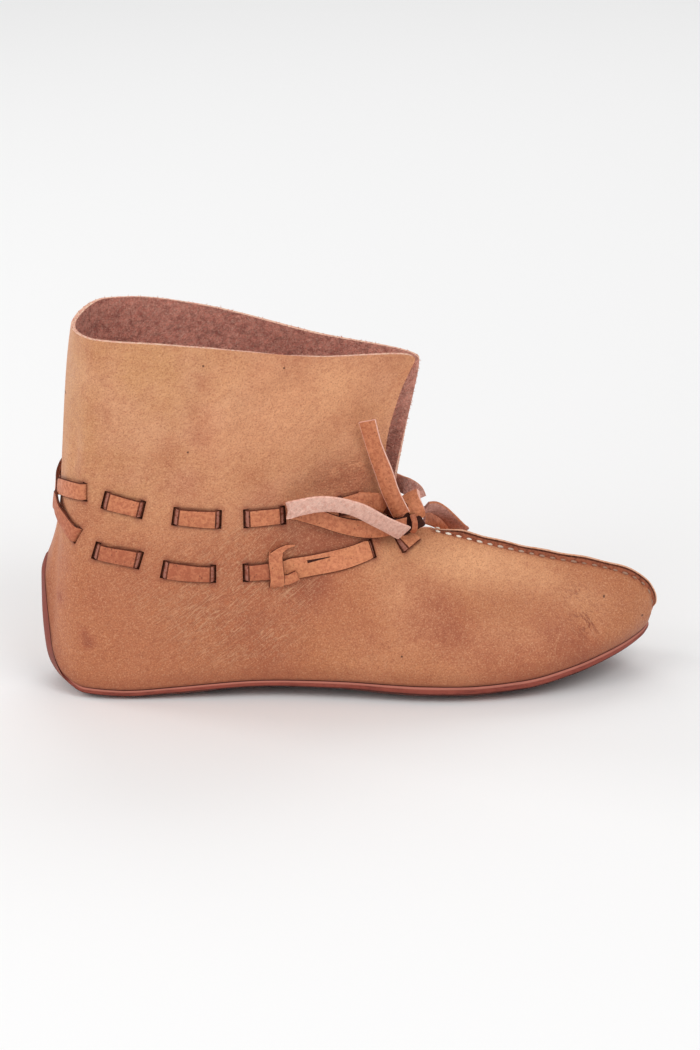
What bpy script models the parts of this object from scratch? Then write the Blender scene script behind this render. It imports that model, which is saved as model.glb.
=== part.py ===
"""Ankle-high turnshoe for the right foot: a wrapped upper sewn along the vamp, a sole that climbs
the heel, and a leather thong woven round the ankle and tied in a bow.

Metres, +Z up, toe towards +X, outer side of the foot towards -Y. The floor is z = 0.
"""

from collections import namedtuple
from math import pi

import bmesh
import bpy
import numpy as np

# Driving sizes of the shoe.
LENGTH = 0.285
BALL_WIDTH = 0.088
COLLAR_HEIGHT = 0.172
WALL = 0.002
SOLE_THICKNESS = 0.0040
SEAM_HEIGHT = 0.0024
SEAM_HALF = 0.0021
SEAM_ROOT = 0.0015
TOE_SWING = 0.006
SWING_FROM = 0.42
SIDE_SHIFT = 0.0013
GAP = 0.0003

# The thong, its slits and how far it stands off the wall.
THONG_WIDTH = 0.0080
THONG_THICKNESS = 0.0016
THONG_CLEAR = 0.0011
SLIT_LENGTH = 0.0050
SLIT_WIDTH = 0.0096
SLIT_RAMP = 0.0024
SLIT_DEPTH = 0.009
CROSSING_LEVEL = 0.015
CROSSING_END = 0.027
CROSSING_DROP = 0.005
CROSSING_SPREAD = 0.025
THONG_STEP = 0.006

# How finely the surfaces are divided.
RIB_ROWS = 12
SOLE_TIP = 0.2
SOLE_SHARES = (0.0, 0.25, 0.5, 0.72, 0.9, 1.0)
FINE = 240
HALVINGS = 40
SMALL = 1e-4

SIDES = {"outer": -1.0, "inner": 1.0}
SEAM_END = 0.315

# Groups of ribs round one side of the upper: where each group ends and how many steps it has.
RIB_SPANS = ((0.125, 9), (SEAM_END, 9), (0.53, 10), (0.87, 12), (1.0, 8))

# Where the upper meets the sole, from the toe tip round to the tip of the heel tongue. at places the row
# along the side. Lengths are shares of LENGTH, half-widths shares of BALL_WIDTH and heights shares of
# COLLAR_HEIGHT. mid is the middle of the sole's underside, flat the level share of its width, thick a
# share of SOLE_THICKNESS, and climb is 1 where the heel tongue stands edge to edge with the upper.
FootRow = namedtuple("FootRow", "at x outer inner z mid_x mid_z flat thick climb")
FOOT_LINE = (
    FootRow(0.000, 0.988, 0.000, 0.000, 0.128, 0.988, 0.112, 0.5, 0.60, 0.0),
    FootRow(0.020, 0.980, 0.085, 0.085, 0.124, 0.980, 0.106, 0.5, 0.70, 0.0),
    FootRow(0.045, 0.958, 0.185, 0.190, 0.115, 0.958, 0.088, 0.5, 0.80, 0.0),
    FootRow(0.080, 0.919, 0.297, 0.300, 0.101, 0.919, 0.062, 0.5, 0.90, 0.0),
    FootRow(0.125, 0.860, 0.398, 0.405, 0.079, 0.860, 0.034, 0.5, 0.95, 0.0),
    FootRow(0.185, 0.779, 0.472, 0.477, 0.057, 0.779, 0.009, 0.5, 1.00, 0.0),
    FootRow(0.255, 0.684, 0.497, 0.503, 0.049, 0.684, 0.000, 0.6, 1.00, 0.0),
    FootRow(0.315, 0.614, 0.482, 0.470, 0.050, 0.614, 0.000, 0.6, 1.00, 0.0),
    FootRow(0.355, 0.579, 0.462, 0.440, 0.051, 0.579, 0.000, 0.6, 0.95, 0.0),
    FootRow(0.530, 0.470, 0.395, 0.350, 0.055, 0.470, 0.012, 0.5, 0.80, 0.0),
    FootRow(0.640, 0.351, 0.352, 0.318, 0.053, 0.351, 0.016, 0.5, 0.70, 0.0),
    FootRow(0.760, 0.211, 0.350, 0.335, 0.037, 0.211, 0.000, 0.6, 0.70, 0.0),
    FootRow(0.820, 0.140, 0.343, 0.335, 0.029, 0.140, 0.000, 0.6, 0.72, 0.0),
    FootRow(0.870, 0.071, 0.306, 0.301, 0.033, 0.072, 0.002, 0.4, 0.75, 0.1),
    FootRow(0.905, 0.037, 0.245, 0.245, 0.057, 0.028, 0.027, 0.1, 0.78, 0.6),
    FootRow(0.935, 0.019, 0.193, 0.193, 0.116, 0.0055, 0.087, 0.0, 0.80, 1.0),
    FootRow(0.960, 0.013, 0.155, 0.155, 0.220, 0.000, 0.212, 0.0, 0.75, 1.0),
    FootRow(0.980, 0.009, 0.103, 0.103, 0.312, 0.001, 0.312, 0.0, 0.65, 1.0),
    FootRow(1.000, 0.013, 0.000, 0.000, 0.366, 0.010, 0.361, 0.0, 0.50, 1.0),
)

# The upper's other edge: up the vamp seam, back along the throat, up to the collar and round its rim.
# side_* places the handle that leads each rib away from the sole, crown_* the handle that leads it to
# this edge: out is away from the middle, rise and drop are heights, lean is forwards.
TopRow = namedtuple(
    "TopRow",
    "at outer_x inner_x half z side_out side_rise side_lean crown_out crown_drop crown_lean",
)
TOP_LINE = (
    TopRow(0.000, 0.9880, 0.9880, 0.000, 0.158, 0.000, 0.011, 0.003, 0.000, 0.010, 0.000),
    TopRow(0.020, 0.9916, 0.9916, 0.000, 0.186, 0.022, 0.028, 0.006, 0.038, 0.024, 0.002),
    TopRow(0.045, 0.9850, 0.9850, 0.000, 0.221, 0.040, 0.052, 0.012, 0.080, 0.032, 0.000),
    TopRow(0.080, 0.9600, 0.9600, 0.000, 0.258, 0.057, 0.082, 0.018, 0.136, 0.044, -0.010),
    TopRow(0.125, 0.9100, 0.9100, 0.000, 0.288, 0.068, 0.105, 0.018, 0.193, 0.056, -0.014),
    TopRow(0.185, 0.8300, 0.8300, 0.000, 0.318, 0.074, 0.128, 0.018, 0.227, 0.068, -0.014),
    TopRow(0.255, 0.7320, 0.7320, 0.000, 0.361, 0.074, 0.157, 0.014, 0.239, 0.080, -0.014),
    TopRow(0.315, 0.6390, 0.6390, 0.000, 0.405, 0.074, 0.186, 0.010, 0.239, 0.085, -0.010),
    TopRow(0.355, 0.5820, 0.5820, 0.045, 0.424, 0.074, 0.198, 0.007, 0.178, 0.066, -0.012),
    TopRow(0.390, 0.5570, 0.5780, 0.095, 0.500, 0.066, 0.209, 0.004, 0.100, 0.066, -0.034),
    TopRow(0.440, 0.5630, 0.5930, 0.088, 0.655, 0.060, 0.221, 0.000, 0.062, 0.128, -0.056),
    TopRow(0.490, 0.5880, 0.6110, 0.052, 0.803, 0.057, 0.233, 0.006, 0.074, 0.165, -0.095),
    TopRow(0.530, 0.6120, 0.6190, 0.014, 0.886, 0.054, 0.244, 0.012, 0.095, 0.190, -0.125),
    TopRow(0.640, 0.4490, 0.4490, 0.240, 0.932, 0.057, 0.244, 0.018, 0.080, 0.302, -0.042),
    TopRow(0.760, 0.2590, 0.2590, 0.425, 0.990, 0.057, 0.233, 0.004, 0.000, 0.320, -0.021),
    TopRow(0.820, 0.1710, 0.1710, 0.455, 1.007, 0.057, 0.221, -0.007, -0.045, 0.320, -0.018),
    TopRow(0.870, 0.1060, 0.1060, 0.403, 1.011, 0.057, 0.209, -0.017, -0.045, 0.320, -0.017),
    TopRow(1.000, 0.0640, 0.0640, 0.000, 1.000, 0.000, 0.157, 0.043, 0.000, 0.244, -0.027),
)

# Slits of the two rows on one side, from the throat to the heel, as shares of LENGTH and COLLAR_HEIGHT.
Slit = namedtuple("Slit", "x z")
HIGH_START = Slit(0.520, 0.531)
HIGH_SLITS = (
    Slit(0.488, 0.520),
    Slit(0.397, 0.513),
    Slit(0.338, 0.511),
    Slit(0.295, 0.514),
    Slit(0.226, 0.527),
    Slit(0.173, 0.547),
    Slit(0.116, 0.573),
    Slit(0.084, 0.592),
)
LOW_START = Slit(0.606, 0.402)
LOW_SLITS = (
    Slit(0.583, 0.388),
    Slit(0.538, 0.402),
    Slit(0.335, 0.361),
    Slit(0.284, 0.362),
    Slit(0.206, 0.378),
    Slit(0.166, 0.405),
    Slit(0.098, 0.430),
    Slit(0.068, 0.468),
)

# The bow's straps. x, y and z are places in millimetres, forwards from the back of the heel, across from
# the middle and up from the floor, and the other columns are the direction of the strap's width.
StrapRow = namedtuple("StrapRow", "x y z across_x across_y across_z")
BOW = {
    "bow_loop_near": (
        StrapRow(169, -14.0, 77.5, 0.3, 0.0, 1.0),
        StrapRow(163, -17.5, 77.3, 0.2, 0.0, 1.0),
        StrapRow(156, -22.5, 78.2, 0.2, 0.1, 1.0),
        StrapRow(148, -26.0, 79.8, 0.3, 0.1, 1.0),
        StrapRow(139, -28.0, 82.4, 0.3, 0.1, 1.0),
        StrapRow(130, -29.5, 85.2, 0.3, 0.1, 1.0),
        StrapRow(121, -32.0, 88.6, 0.3, 0.0, 1.0),
        StrapRow(116, -35.5, 91.8, 0.1, -0.1, 1.0),
        StrapRow(121, -38.5, 95.6, -0.2, -0.2, 1.0),
        StrapRow(130, -38.5, 96.3, 0.0, -0.3, 1.0),
        StrapRow(139, -37.0, 94.8, 0.2, -0.3, 0.9),
        StrapRow(148, -34.0, 91.0, 0.4, -0.3, 0.9),
        StrapRow(157, -29.5, 84.3, 0.5, -0.3, 0.8),
        StrapRow(164, -24.0, 78.7, 0.5, -0.3, 0.8),
        StrapRow(168, -19.0, 75.0, 0.5, -0.3, 0.8),
    ),
    "bow_loop_far": (
        StrapRow(178, 0.0, 80.5, 0.1, -0.5, 0.9),
        StrapRow(182, 3.5, 79.5, 0.2, -0.5, 0.9),
        StrapRow(186, 7.5, 76.0, 0.3, -0.5, 0.8),
        StrapRow(190, 12.0, 70.8, 0.4, -0.5, 0.7),
        StrapRow(194, 17.0, 64.5, 0.5, -0.4, 0.7),
        StrapRow(196, 22.0, 60.3, 0.6, 0.0, 0.7),
        StrapRow(193, 26.0, 60.0, 0.5, 0.4, 0.7),
        StrapRow(188, 24.0, 64.0, 0.4, 0.7, 0.6),
        StrapRow(183, 16.5, 69.5, 0.3, 0.8, 0.5),
        StrapRow(178, 8.0, 74.5, 0.3, 0.8, 0.3),
    ),
    "bow_end_near": (
        StrapRow(167, -15.5, 82.8, 1.0, 0.0, 0.3),
        StrapRow(165, -17.0, 87.5, 1.0, 0.0, 0.3),
        StrapRow(162, -18.0, 95.0, 1.0, -0.1, 0.3),
        StrapRow(159, -18.5, 105.0, 1.0, -0.2, 0.3),
        StrapRow(155, -19.0, 117.0, 1.0, -0.2, 0.3),
        StrapRow(152, -19.5, 129.0, 1.0, -0.2, 0.3),
    ),
    "bow_end_far": (
        StrapRow(175, -0.5, 85.0, 0.7, 0.4, 0.5),
        StrapRow(173.5, 1.0, 88.0, 0.5, 0.4, 0.8),
        StrapRow(170.5, 3.5, 89.7, 0.2, 0.3, 1.0),
        StrapRow(168, 6.5, 90.0, 0.1, 0.1, 1.0),
        StrapRow(165, 12.0, 89.5, 0.1, 0.0, 1.0),
        StrapRow(160, 19.0, 87.5, 0.2, 0.0, 1.0),
        StrapRow(154, 23.0, 85.0, 0.2, 0.0, 1.0),
        StrapRow(147, 24.5, 82.0, 0.2, 0.0, 1.0),
        StrapRow(140, 26.0, 79.0, 0.2, 0.0, 1.0),
    ),
}
STRAP_STEPS = 4

# The high thong's outer end, from the knot round the front edge to its first place on the wall.
LEAD = (
    StrapRow(164, -13.0, 84.5, 0.0, 0.2, -1.0),
    StrapRow(160, -13.5, 87.0, 0.0, 0.1, -1.0),
    StrapRow(156, -16.3, 89.3, 0.0, 0.0, -1.0),
    StrapRow(152, -20.2, 90.8, 0.1, 0.1, -1.0),
)

# The knot of the bow: a short fat wrap of the strap, in the straps' own columns and scales.
KNOT = (
    StrapRow(171, -3.5, 88.0, 0.8, 0.1, 0.5),
    StrapRow(172, -7.5, 86.0, 0.8, 0.1, 0.5),
    StrapRow(174, -8.5, 82.5, 0.8, 0.1, 0.5),
    StrapRow(175, -6.0, 78.5, 0.8, 0.1, 0.5),
)
KNOT_WIDTH = 0.0090
KNOT_THICKNESS = 0.0036

# The join in the low thong on the outer side: where it lies and how much stouter it is there.
JOIN_AT = Slit(0.385, 0.371)
JOIN_HALF = 0.006
JOIN_WIDER = 0.30
JOIN_THICKER = 0.90

MILLIMETRE = 0.001
HALF_WIDTH_COLUMNS = ("outer", "inner", "half")

LEATHER = (0.55, 0.27, 0.13, 1.0)
SOLE_LEATHER = (0.22, 0.07, 0.05, 1.0)
THONG_LEATHER = (0.42, 0.17, 0.07, 1.0)


def follow(rows, column, at):
    """Value of a table's column at one place or many, on a smooth curve that never overshoots its rows."""
    keys = np.array([row.at for row in rows])
    values = np.array([getattr(row, column) for row in rows])
    return monotone(keys, values, at, column in HALF_WIDTH_COLUMNS)


def monotone(keys, values, at, steep_ends):
    """Monotone cubic through the keys; steep_ends lets the curve leave its first and last key sloping."""
    steps = np.diff(keys)
    rises = np.diff(values) / steps
    slopes = np.zeros(len(keys))
    same_way = rises[:-1] * rises[1:] > 0
    before = 2 * steps[1:] + steps[:-1]
    after = steps[1:] + 2 * steps[:-1]
    safe = np.where(same_way[:, None], np.stack([rises[:-1], rises[1:]], axis=1), 1.0)
    mean = (before + after) / (before / safe[:, 0] + after / safe[:, 1])
    slopes[1:-1] = np.where(same_way, mean, 0.0)
    if steep_ends:
        slopes[0], slopes[-1] = rises[0], rises[-1]
    at = np.asarray(at, float)
    i = np.clip(np.searchsorted(keys, at, side="right") - 1, 0, len(keys) - 2)
    h = steps[i]
    t = (at - keys[i]) / h
    return (
        values[i] * (1 + 2 * t) * (1 - t) ** 2
        + slopes[i] * h * t * (1 - t) ** 2
        + values[i + 1] * t * t * (3 - 2 * t)
        + slopes[i + 1] * h * t * t * (t - 1)
    )


def place(x, y, z):
    """Shoe sizes, with x from the back of the heel, to the part's own frame."""
    forward = np.clip((np.asarray(x) / LENGTH - SWING_FROM) / (1 - SWING_FROM), 0, None)
    return np.stack([x - LENGTH / 2, y + TOE_SWING * forward**2 - SIDE_SHIFT, z], axis=-1)


def rib(side, at):
    """The four handles of the ribs at these places: sole edge, side handle, crown handle, top edge."""
    sign = SIDES[side]
    foot_x = LENGTH * follow(FOOT_LINE, "x", at)
    foot_y = BALL_WIDTH * follow(FOOT_LINE, side, at)
    foot_z = COLLAR_HEIGHT * follow(FOOT_LINE, "z", at)
    top_x = LENGTH * follow(TOP_LINE, side + "_x", at)
    top_y = BALL_WIDTH * follow(TOP_LINE, "half", at)
    top_z = COLLAR_HEIGHT * follow(TOP_LINE, "z", at)
    side_x = foot_x + LENGTH * follow(TOP_LINE, "side_lean", at)
    side_y = foot_y + BALL_WIDTH * follow(TOP_LINE, "side_out", at)
    side_z = foot_z + COLLAR_HEIGHT * follow(TOP_LINE, "side_rise", at)
    crown_x = top_x + LENGTH * follow(TOP_LINE, "crown_lean", at)
    crown_y = top_y + BALL_WIDTH * follow(TOP_LINE, "crown_out", at)
    crown_z = top_z - COLLAR_HEIGHT * follow(TOP_LINE, "crown_drop", at)
    return (
        place(foot_x, sign * foot_y, foot_z),
        place(side_x, sign * side_y, side_z),
        place(crown_x, sign * crown_y, crown_z),
        place(top_x, sign * top_y, top_z),
    )


def wall(side, at, t):
    """Points of the upper's outer face: at runs from toe to heel, t from the sole edge to the top edge."""
    foot, low, high, top = rib(side, at)
    t = np.asarray(t, float)[..., None]
    s = 1 - t
    return foot * s**3 + 3 * low * s * s * t + 3 * high * s * t * t + top * t**3


def wall_normal(side, at, t):
    """Outward direction of the upper's outer face."""
    at = np.asarray(at, float)
    t = np.asarray(t, float)
    back = wall(side, np.minimum(at + SMALL, 1), t) - wall(side, np.maximum(at - SMALL, 0), t)
    up = wall(side, at, np.minimum(t + SMALL, 1)) - wall(side, at, np.maximum(t - SMALL, 0))
    return unit(SIDES[side] * np.cross(back, up))


def unit(vectors):
    return vectors / np.linalg.norm(vectors, axis=-1, keepdims=True)


def height_share(side, at, z):
    """How far up its rib the wall reaches height z, by halving."""
    low = np.zeros_like(np.asarray(at, float))
    high = np.ones_like(low)
    for _ in range(HALVINGS):
        middle = (low + high) / 2
        under = wall(side, at, middle)[..., 2] < z
        low = np.where(under, middle, low)
        high = np.where(under, high, middle)
    return (low + high) / 2


def rib_at(side, spot):
    """The rib that passes through a spot given as shares of LENGTH and COLLAR_HEIGHT."""
    at = np.linspace(SEAM_END + SMALL, 1, FINE)
    z = spot.z * COLLAR_HEIGHT
    points = wall(side, at, height_share(side, at, z))
    reached = np.abs(points[:, 2] - z) < SMALL
    x = points[reached, 0] + LENGTH / 2
    return float(np.interp(spot.x * LENGTH, x[::-1], at[reached][::-1]))


def new_object(name, mesh, collection, colour):
    """A mesh as a named object with its own material; a colour of None makes it a cutter."""
    thing = bpy.data.objects.new(name, mesh)
    collection.objects.link(thing)
    if colour is None:
        thing.hide_render = True
        thing.display_type = "WIRE"
        return thing
    material = bpy.data.materials.new(name)
    material.use_nodes = True
    shader = material.node_tree.nodes["Principled BSDF"]
    shader.inputs["Base Color"].default_value = colour
    shader.inputs["Roughness"].default_value = 0.6
    material.diffuse_color = colour
    mesh.materials.append(material)
    return thing


def loft(name, rings):
    """Closed mesh through rings of equally many points, with a cap at each end."""
    shape = bmesh.new()
    add_loft(shape, rings)
    return finished(shape, name)


def add_loft(shape, rings):
    loops = [[shape.verts.new(point) for point in ring] for ring in rings]
    count = len(loops[0])
    for first, second in zip(loops, loops[1:]):
        for k in range(count):
            shape.faces.new((first[k], first[(k + 1) % count], second[(k + 1) % count], second[k]))
    shape.faces.new(loops[0][::-1])
    shape.faces.new(loops[-1])


def finished(shape, name):
    bmesh.ops.recalc_face_normals(shape, faces=shape.faces)
    mesh = bpy.data.meshes.new(name)
    shape.to_mesh(mesh)
    shape.free()
    mesh.shade_smooth()
    mesh.set_sharp_from_angle(angle=pi / 4)
    return mesh


def rib_places():
    places = [0.0]
    for end, steps in RIB_SPANS:
        places.extend(np.linspace(places[-1], end, steps + 1)[1:])
    return np.array(places)


def upper_skin():
    """Open surface of the upper's outer face, both sides joined at the vamp seam and behind the heel."""
    shape = bmesh.new()
    places = rib_places()
    rows = np.linspace(0, 1, RIB_ROWS + 1)
    for side in SIDES:
        points = wall(side, places[:, None], rows[None, :])
        grid = [[shape.verts.new(point) for point in line] for line in points]
        for first, second in zip(grid, grid[1:]):
            for k in range(RIB_ROWS):
                corners = [first[k], second[k], second[k + 1], first[k + 1]]
                shape.faces.new(corners if side == "inner" else corners[::-1])
    bmesh.ops.remove_doubles(shape, verts=shape.verts, dist=GAP / 10)
    mesh = bpy.data.meshes.new("upper")
    shape.to_mesh(mesh)
    shape.free()
    mesh.shade_smooth()
    return mesh


def seam_form():
    """Standing edge of the vamp seam: the two turned-up edges of the upper, with a groove between them."""
    places = [at for at in rib_places() if at <= SEAM_END]
    places[0] = places[1] / 4
    places[-1] -= SMALL
    crest = wall("outer", places, np.ones(len(places)))
    along = unit(np.gradient(crest, axis=0))
    across = np.array([0.0, 1.0, 0.0])
    rings = []
    for point, forward in zip(crest, along):
        up = unit(np.cross(across, forward))
        up = up if up[0] + up[2] > 0 else -up
        profile = (
            (-SEAM_HALF, -SEAM_ROOT),
            (-SEAM_HALF, 0.8 * SEAM_HEIGHT),
            (-0.65 * SEAM_HALF, SEAM_HEIGHT),
            (0.0, 0.65 * SEAM_HEIGHT),
            (0.65 * SEAM_HALF, SEAM_HEIGHT),
            (SEAM_HALF, 0.8 * SEAM_HEIGHT),
            (SEAM_HALF, -SEAM_ROOT),
        )
        rings.append([point + across * sideways + up * high for sideways, high in profile])
    return loft("seam_form", rings)


def sole_mesh():
    """Sole and heel tongue, lofted from the toe tip to the tip of the tongue on the upper's own ribs."""
    places = rib_places()
    last = len(places) - 1
    stations = np.concatenate([[SOLE_TIP], np.arange(1, last), [last - SOLE_TIP]])

    def at_stations(values):
        return np.stack([np.interp(stations, np.arange(last + 1), column) for column in values.T], axis=-1)

    mid = place(
        LENGTH * follow(FOOT_LINE, "mid_x", places),
        np.zeros(len(places)),
        COLLAR_HEIGHT * follow(FOOT_LINE, "mid_z", places),
    )
    along = unit(np.gradient(mid, axis=0))
    inward = np.stack([along[:, 2], np.zeros(len(places)), -along[:, 0]], axis=-1)
    thick = (SOLE_THICKNESS * follow(FOOT_LINE, "thick", places))[:, None]
    flat = follow(FOOT_LINE, "flat", places)[:, None]
    climb = follow(FOOT_LINE, "climb", places)[:, None]
    layers = {"under": {"middle": mid}, "over": {"middle": mid + inward * thick}}
    for side in SIDES:
        foot = wall(side, places, np.zeros(len(places)))
        normal = wall_normal(side, places, np.zeros(len(places)))
        away = -SIDES[side] * unit(np.cross(normal, np.gradient(foot, axis=0)))
        edge = foot + GAP * away
        layers["under"][side] = edge - (1 - climb) * thick * np.array([0.0, 0.0, 1.0])
        layers["over"][side] = edge - climb * thick * normal
    flat = at_stations(flat)
    strips = {}
    for layer, lines in layers.items():
        middle = at_stations(lines["middle"])
        points = []
        for side, shares in (("outer", SOLE_SHARES[:0:-1]), ("inner", SOLE_SHARES)):
            reach = at_stations(lines[side]) - middle
            for share in shares:
                bend = np.maximum(0, (share - flat) / (1 - flat)) ** 2
                points.append(middle + reach * np.hstack([bend, np.full_like(bend, share), bend]))
        strips[layer] = np.stack(points, axis=1)
    return loft("sole", np.concatenate([strips["under"], strips["over"][:, ::-1]], axis=1))


def thong_places(first_side, first_start, first_slits, last_slits, last_start):
    """Places of a thong's ends and slits, counted from 0 at one throat edge to 2 at the other."""
    other_side = "inner" if first_side == "outer" else "outer"
    there = [rib_at(first_side, spot) for spot in (first_start, *first_slits)]
    back = [2 - rib_at(other_side, spot) for spot in (last_start, *last_slits)][::-1]
    heights = [spot.z for spot in (first_start, *first_slits)]
    heights += [spot.z for spot in (last_start, *last_slits)][::-1]
    return np.array(there + back), COLLAR_HEIGHT * np.array(heights)


def thong_wall(first_side, places, heights):
    """Wall points and outward directions under a thong that starts on first_side."""
    other_side = "inner" if first_side == "outer" else "outer"
    points, normals = np.zeros((2, len(places), 3))
    for side, chosen in ((first_side, places <= 1), (other_side, places > 1)):
        at = np.minimum(places, 2 - places)[chosen]
        t = height_share(side, at, heights[chosen])
        points[chosen] = wall(side, at, t)
        normals[chosen] = wall_normal(side, at, t)
    return points, normals


def smooth_step(t):
    t = np.clip(t, 0, 1)
    return t * t * (3 - 2 * t)


def thong_rings(start, slits, other_slits, other_start, over, join):
    """Rings of a thong, in and out through its slits, and the frames of the slits."""
    keys, heights = thong_places("outer", start, slits, other_slits, other_start)
    fine = np.linspace(keys[0], keys[-1], 4 * FINE)
    fine = np.unique(np.concatenate([fine, keys]))
    fine_z = monotone(keys, heights, fine, True)
    if over:
        fine_z = fine_z - CROSSING_DROP * np.exp(-(((fine - 1) / CROSSING_SPREAD) ** 2))
    points, normals = thong_wall("outer", fine, fine_z)
    run = np.concatenate([[0], np.cumsum(np.linalg.norm(np.diff(points, axis=0), axis=1))])
    cuts = np.interp(keys[1:-1], fine, run)
    middle = np.interp(1.0, fine, run)

    stops = [0.0, run[-1]]
    for cut in cuts:
        stops.extend(cut + SLIT_RAMP * np.array([-1.0, -0.6, -0.2, 0.2, 0.6, 1.0]))
    stops = sorted(stops)
    stations = [stops[0]]
    for stop in stops[1:]:
        steps = max(1, round((stop - stations[-1]) / THONG_STEP))
        stations.extend(np.linspace(stations[-1], stop, steps + 1)[1:])
    stations = np.array(stations)

    def along_run(values):
        return np.stack([np.interp(stations, run, values[:, k]) for k in range(3)], axis=-1)

    base, normal = along_run(points), unit(along_run(normals))
    outside = THONG_CLEAR + THONG_THICKNESS / 2
    inside = -(WALL + THONG_CLEAR + THONG_THICKNESS / 2)
    state = np.ones(len(stations))
    for index, cut in enumerate(cuts):
        turn = np.sin(np.clip((stations - cut) / SLIT_RAMP, -1, 1) * pi / 2)
        state = np.where(stations > cut - SLIT_RAMP, -turn if index % 2 == 0 else turn, state)
    offset = (outside + inside) / 2 + state * (outside - inside) / 2
    if over:
        ramp = (CROSSING_END - np.abs(stations - middle)) / (CROSSING_END - CROSSING_LEVEL)
        offset = offset + smooth_step(ramp) * (THONG_THICKNESS + THONG_CLEAR)
    path = base + normal * offset[:, None]

    half_width = np.full(len(stations), THONG_WIDTH / 2)
    half_thick = np.full(len(stations), THONG_THICKNESS / 2)
    if join is not None:
        spot = np.interp(rib_at("outer", join), fine, run)
        lump = smooth_step(2 - np.abs(stations - spot) / JOIN_HALF)
        half_width = half_width * (1 + JOIN_WIDER * lump)
        path = path + normal * (half_thick * JOIN_THICKER * lump)[:, None]
        half_thick = half_thick * (1 + JOIN_THICKER * lump)
    across = unit(np.cross(normal, np.gradient(base, axis=0)))
    rise = unit(np.cross(np.gradient(path, axis=0), across))
    rings = [
        [p - a * w - r * h, p + a * w - r * h, p + a * w + r * h, p - a * w + r * h]
        for p, a, r, w, h in zip(path, across, rise, half_width, half_thick)
    ]

    frames = []
    for cut in cuts:
        k = int(np.searchsorted(run, cut))
        forward = unit(points[min(k + 2, len(run) - 1)] - points[max(k - 2, 0)])
        frames.append((points[k], normals[k], forward))
    return rings, frames


def slit_mesh(frames):
    """One cutter with a flat-sided bar through the wall at every slit."""
    shape = bmesh.new()
    for point, normal, forward in frames:
        across = unit(np.cross(normal, forward))
        along = unit(np.cross(across, normal))
        centre = point - normal * WALL / 2
        ends = [centre + normal * depth for depth in (-SLIT_DEPTH / 2, SLIT_DEPTH / 2)]
        corners = ((-1, -1), (1, -1), (1, 1), (-1, 1))
        add_loft(
            shape,
            [
                [end + along * i * SLIT_LENGTH / 2 + across * j * SLIT_WIDTH / 2 for i, j in corners]
                for end in ends
            ],
        )
    return finished(shape, "slit_cutter")


def strap_rings(rows, width, thickness):
    """Rings of a flat strap on a smooth curve through its rows."""
    route = np.array([(row.x, row.y, row.z) for row in rows]) * MILLIMETRE
    route = place(route[:, 0], route[:, 1], route[:, 2])
    across = np.array([(row.across_x, row.across_y, row.across_z) for row in rows])
    keys = np.arange(len(rows))
    fine = np.linspace(0, len(rows) - 1, STRAP_STEPS * (len(rows) - 1) + 1)

    def curve(values):
        slopes = np.gradient(values, axis=0)
        i = np.clip(fine.astype(int), 0, len(keys) - 2)
        t = (fine - i)[:, None]
        return (
            values[i] * (1 + 2 * t) * (1 - t) ** 2
            + slopes[i] * t * (1 - t) ** 2
            + values[i + 1] * t * t * (3 - 2 * t)
            + slopes[i + 1] * t * t * (t - 1)
        )

    path, across = curve(route), curve(across)
    forward = unit(np.gradient(path, axis=0))
    rise = unit(np.cross(forward, across))
    across = unit(np.cross(rise, forward))
    w, h = width / 2, thickness / 2
    return [
        [p - a * w - r * h, p + a * w - r * h, p + a * w + r * h, p - a * w + r * h]
        for p, a, r in zip(path, across, rise)
    ]


def cut(target, cutter, operation):
    modifier = target.modifiers.new(cutter.name, "BOOLEAN")
    modifier.operation = operation
    modifier.solver = "EXACT"
    modifier.object = cutter


def main():
    for old in list(bpy.data.objects):
        bpy.data.objects.remove(old, do_unlink=True)
    parts = bpy.data.collections.new("turnshoe")
    cutters = bpy.data.collections.new("cutters")
    for collection in (parts, cutters):
        bpy.context.scene.collection.children.link(collection)

    high, high_slits = thong_rings(HIGH_START, HIGH_SLITS, LOW_SLITS, LOW_START, False, None)
    low, low_slits = thong_rings(LOW_START, LOW_SLITS, HIGH_SLITS, HIGH_START, True, JOIN_AT)

    upper = new_object("upper", upper_skin(), parts, LEATHER)
    shell = upper.modifiers.new("wall", "SOLIDIFY")
    shell.thickness = WALL
    shell.offset = -1
    shell.use_quality_normals = True
    cut(upper, new_object("seam_form", seam_form(), cutters, None), "UNION")
    cut(upper, new_object("slit_cutter", slit_mesh(high_slits + low_slits), cutters, None), "DIFFERENCE")

    new_object("sole", sole_mesh(), parts, SOLE_LEATHER)
    lead = strap_rings(LEAD, THONG_WIDTH, THONG_THICKNESS)
    new_object("thong_high", loft("thong_high", lead + high), parts, THONG_LEATHER)
    new_object("thong_low", loft("thong_low", low), parts, THONG_LEATHER)
    for name, rows in BOW.items():
        new_object(name, loft(name, strap_rings(rows, THONG_WIDTH, THONG_THICKNESS)), parts, THONG_LEATHER)
    knot = loft("bow_knot", strap_rings(KNOT, KNOT_WIDTH, KNOT_THICKNESS))
    new_object("bow_knot", knot, parts, THONG_LEATHER)


main()
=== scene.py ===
from collections import namedtuple
from math import cos, pi, radians, sin

import bmesh
import bpy
import numpy as np
from mathutils import Matrix, Vector
from mathutils.kdtree import KDTree


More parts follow.
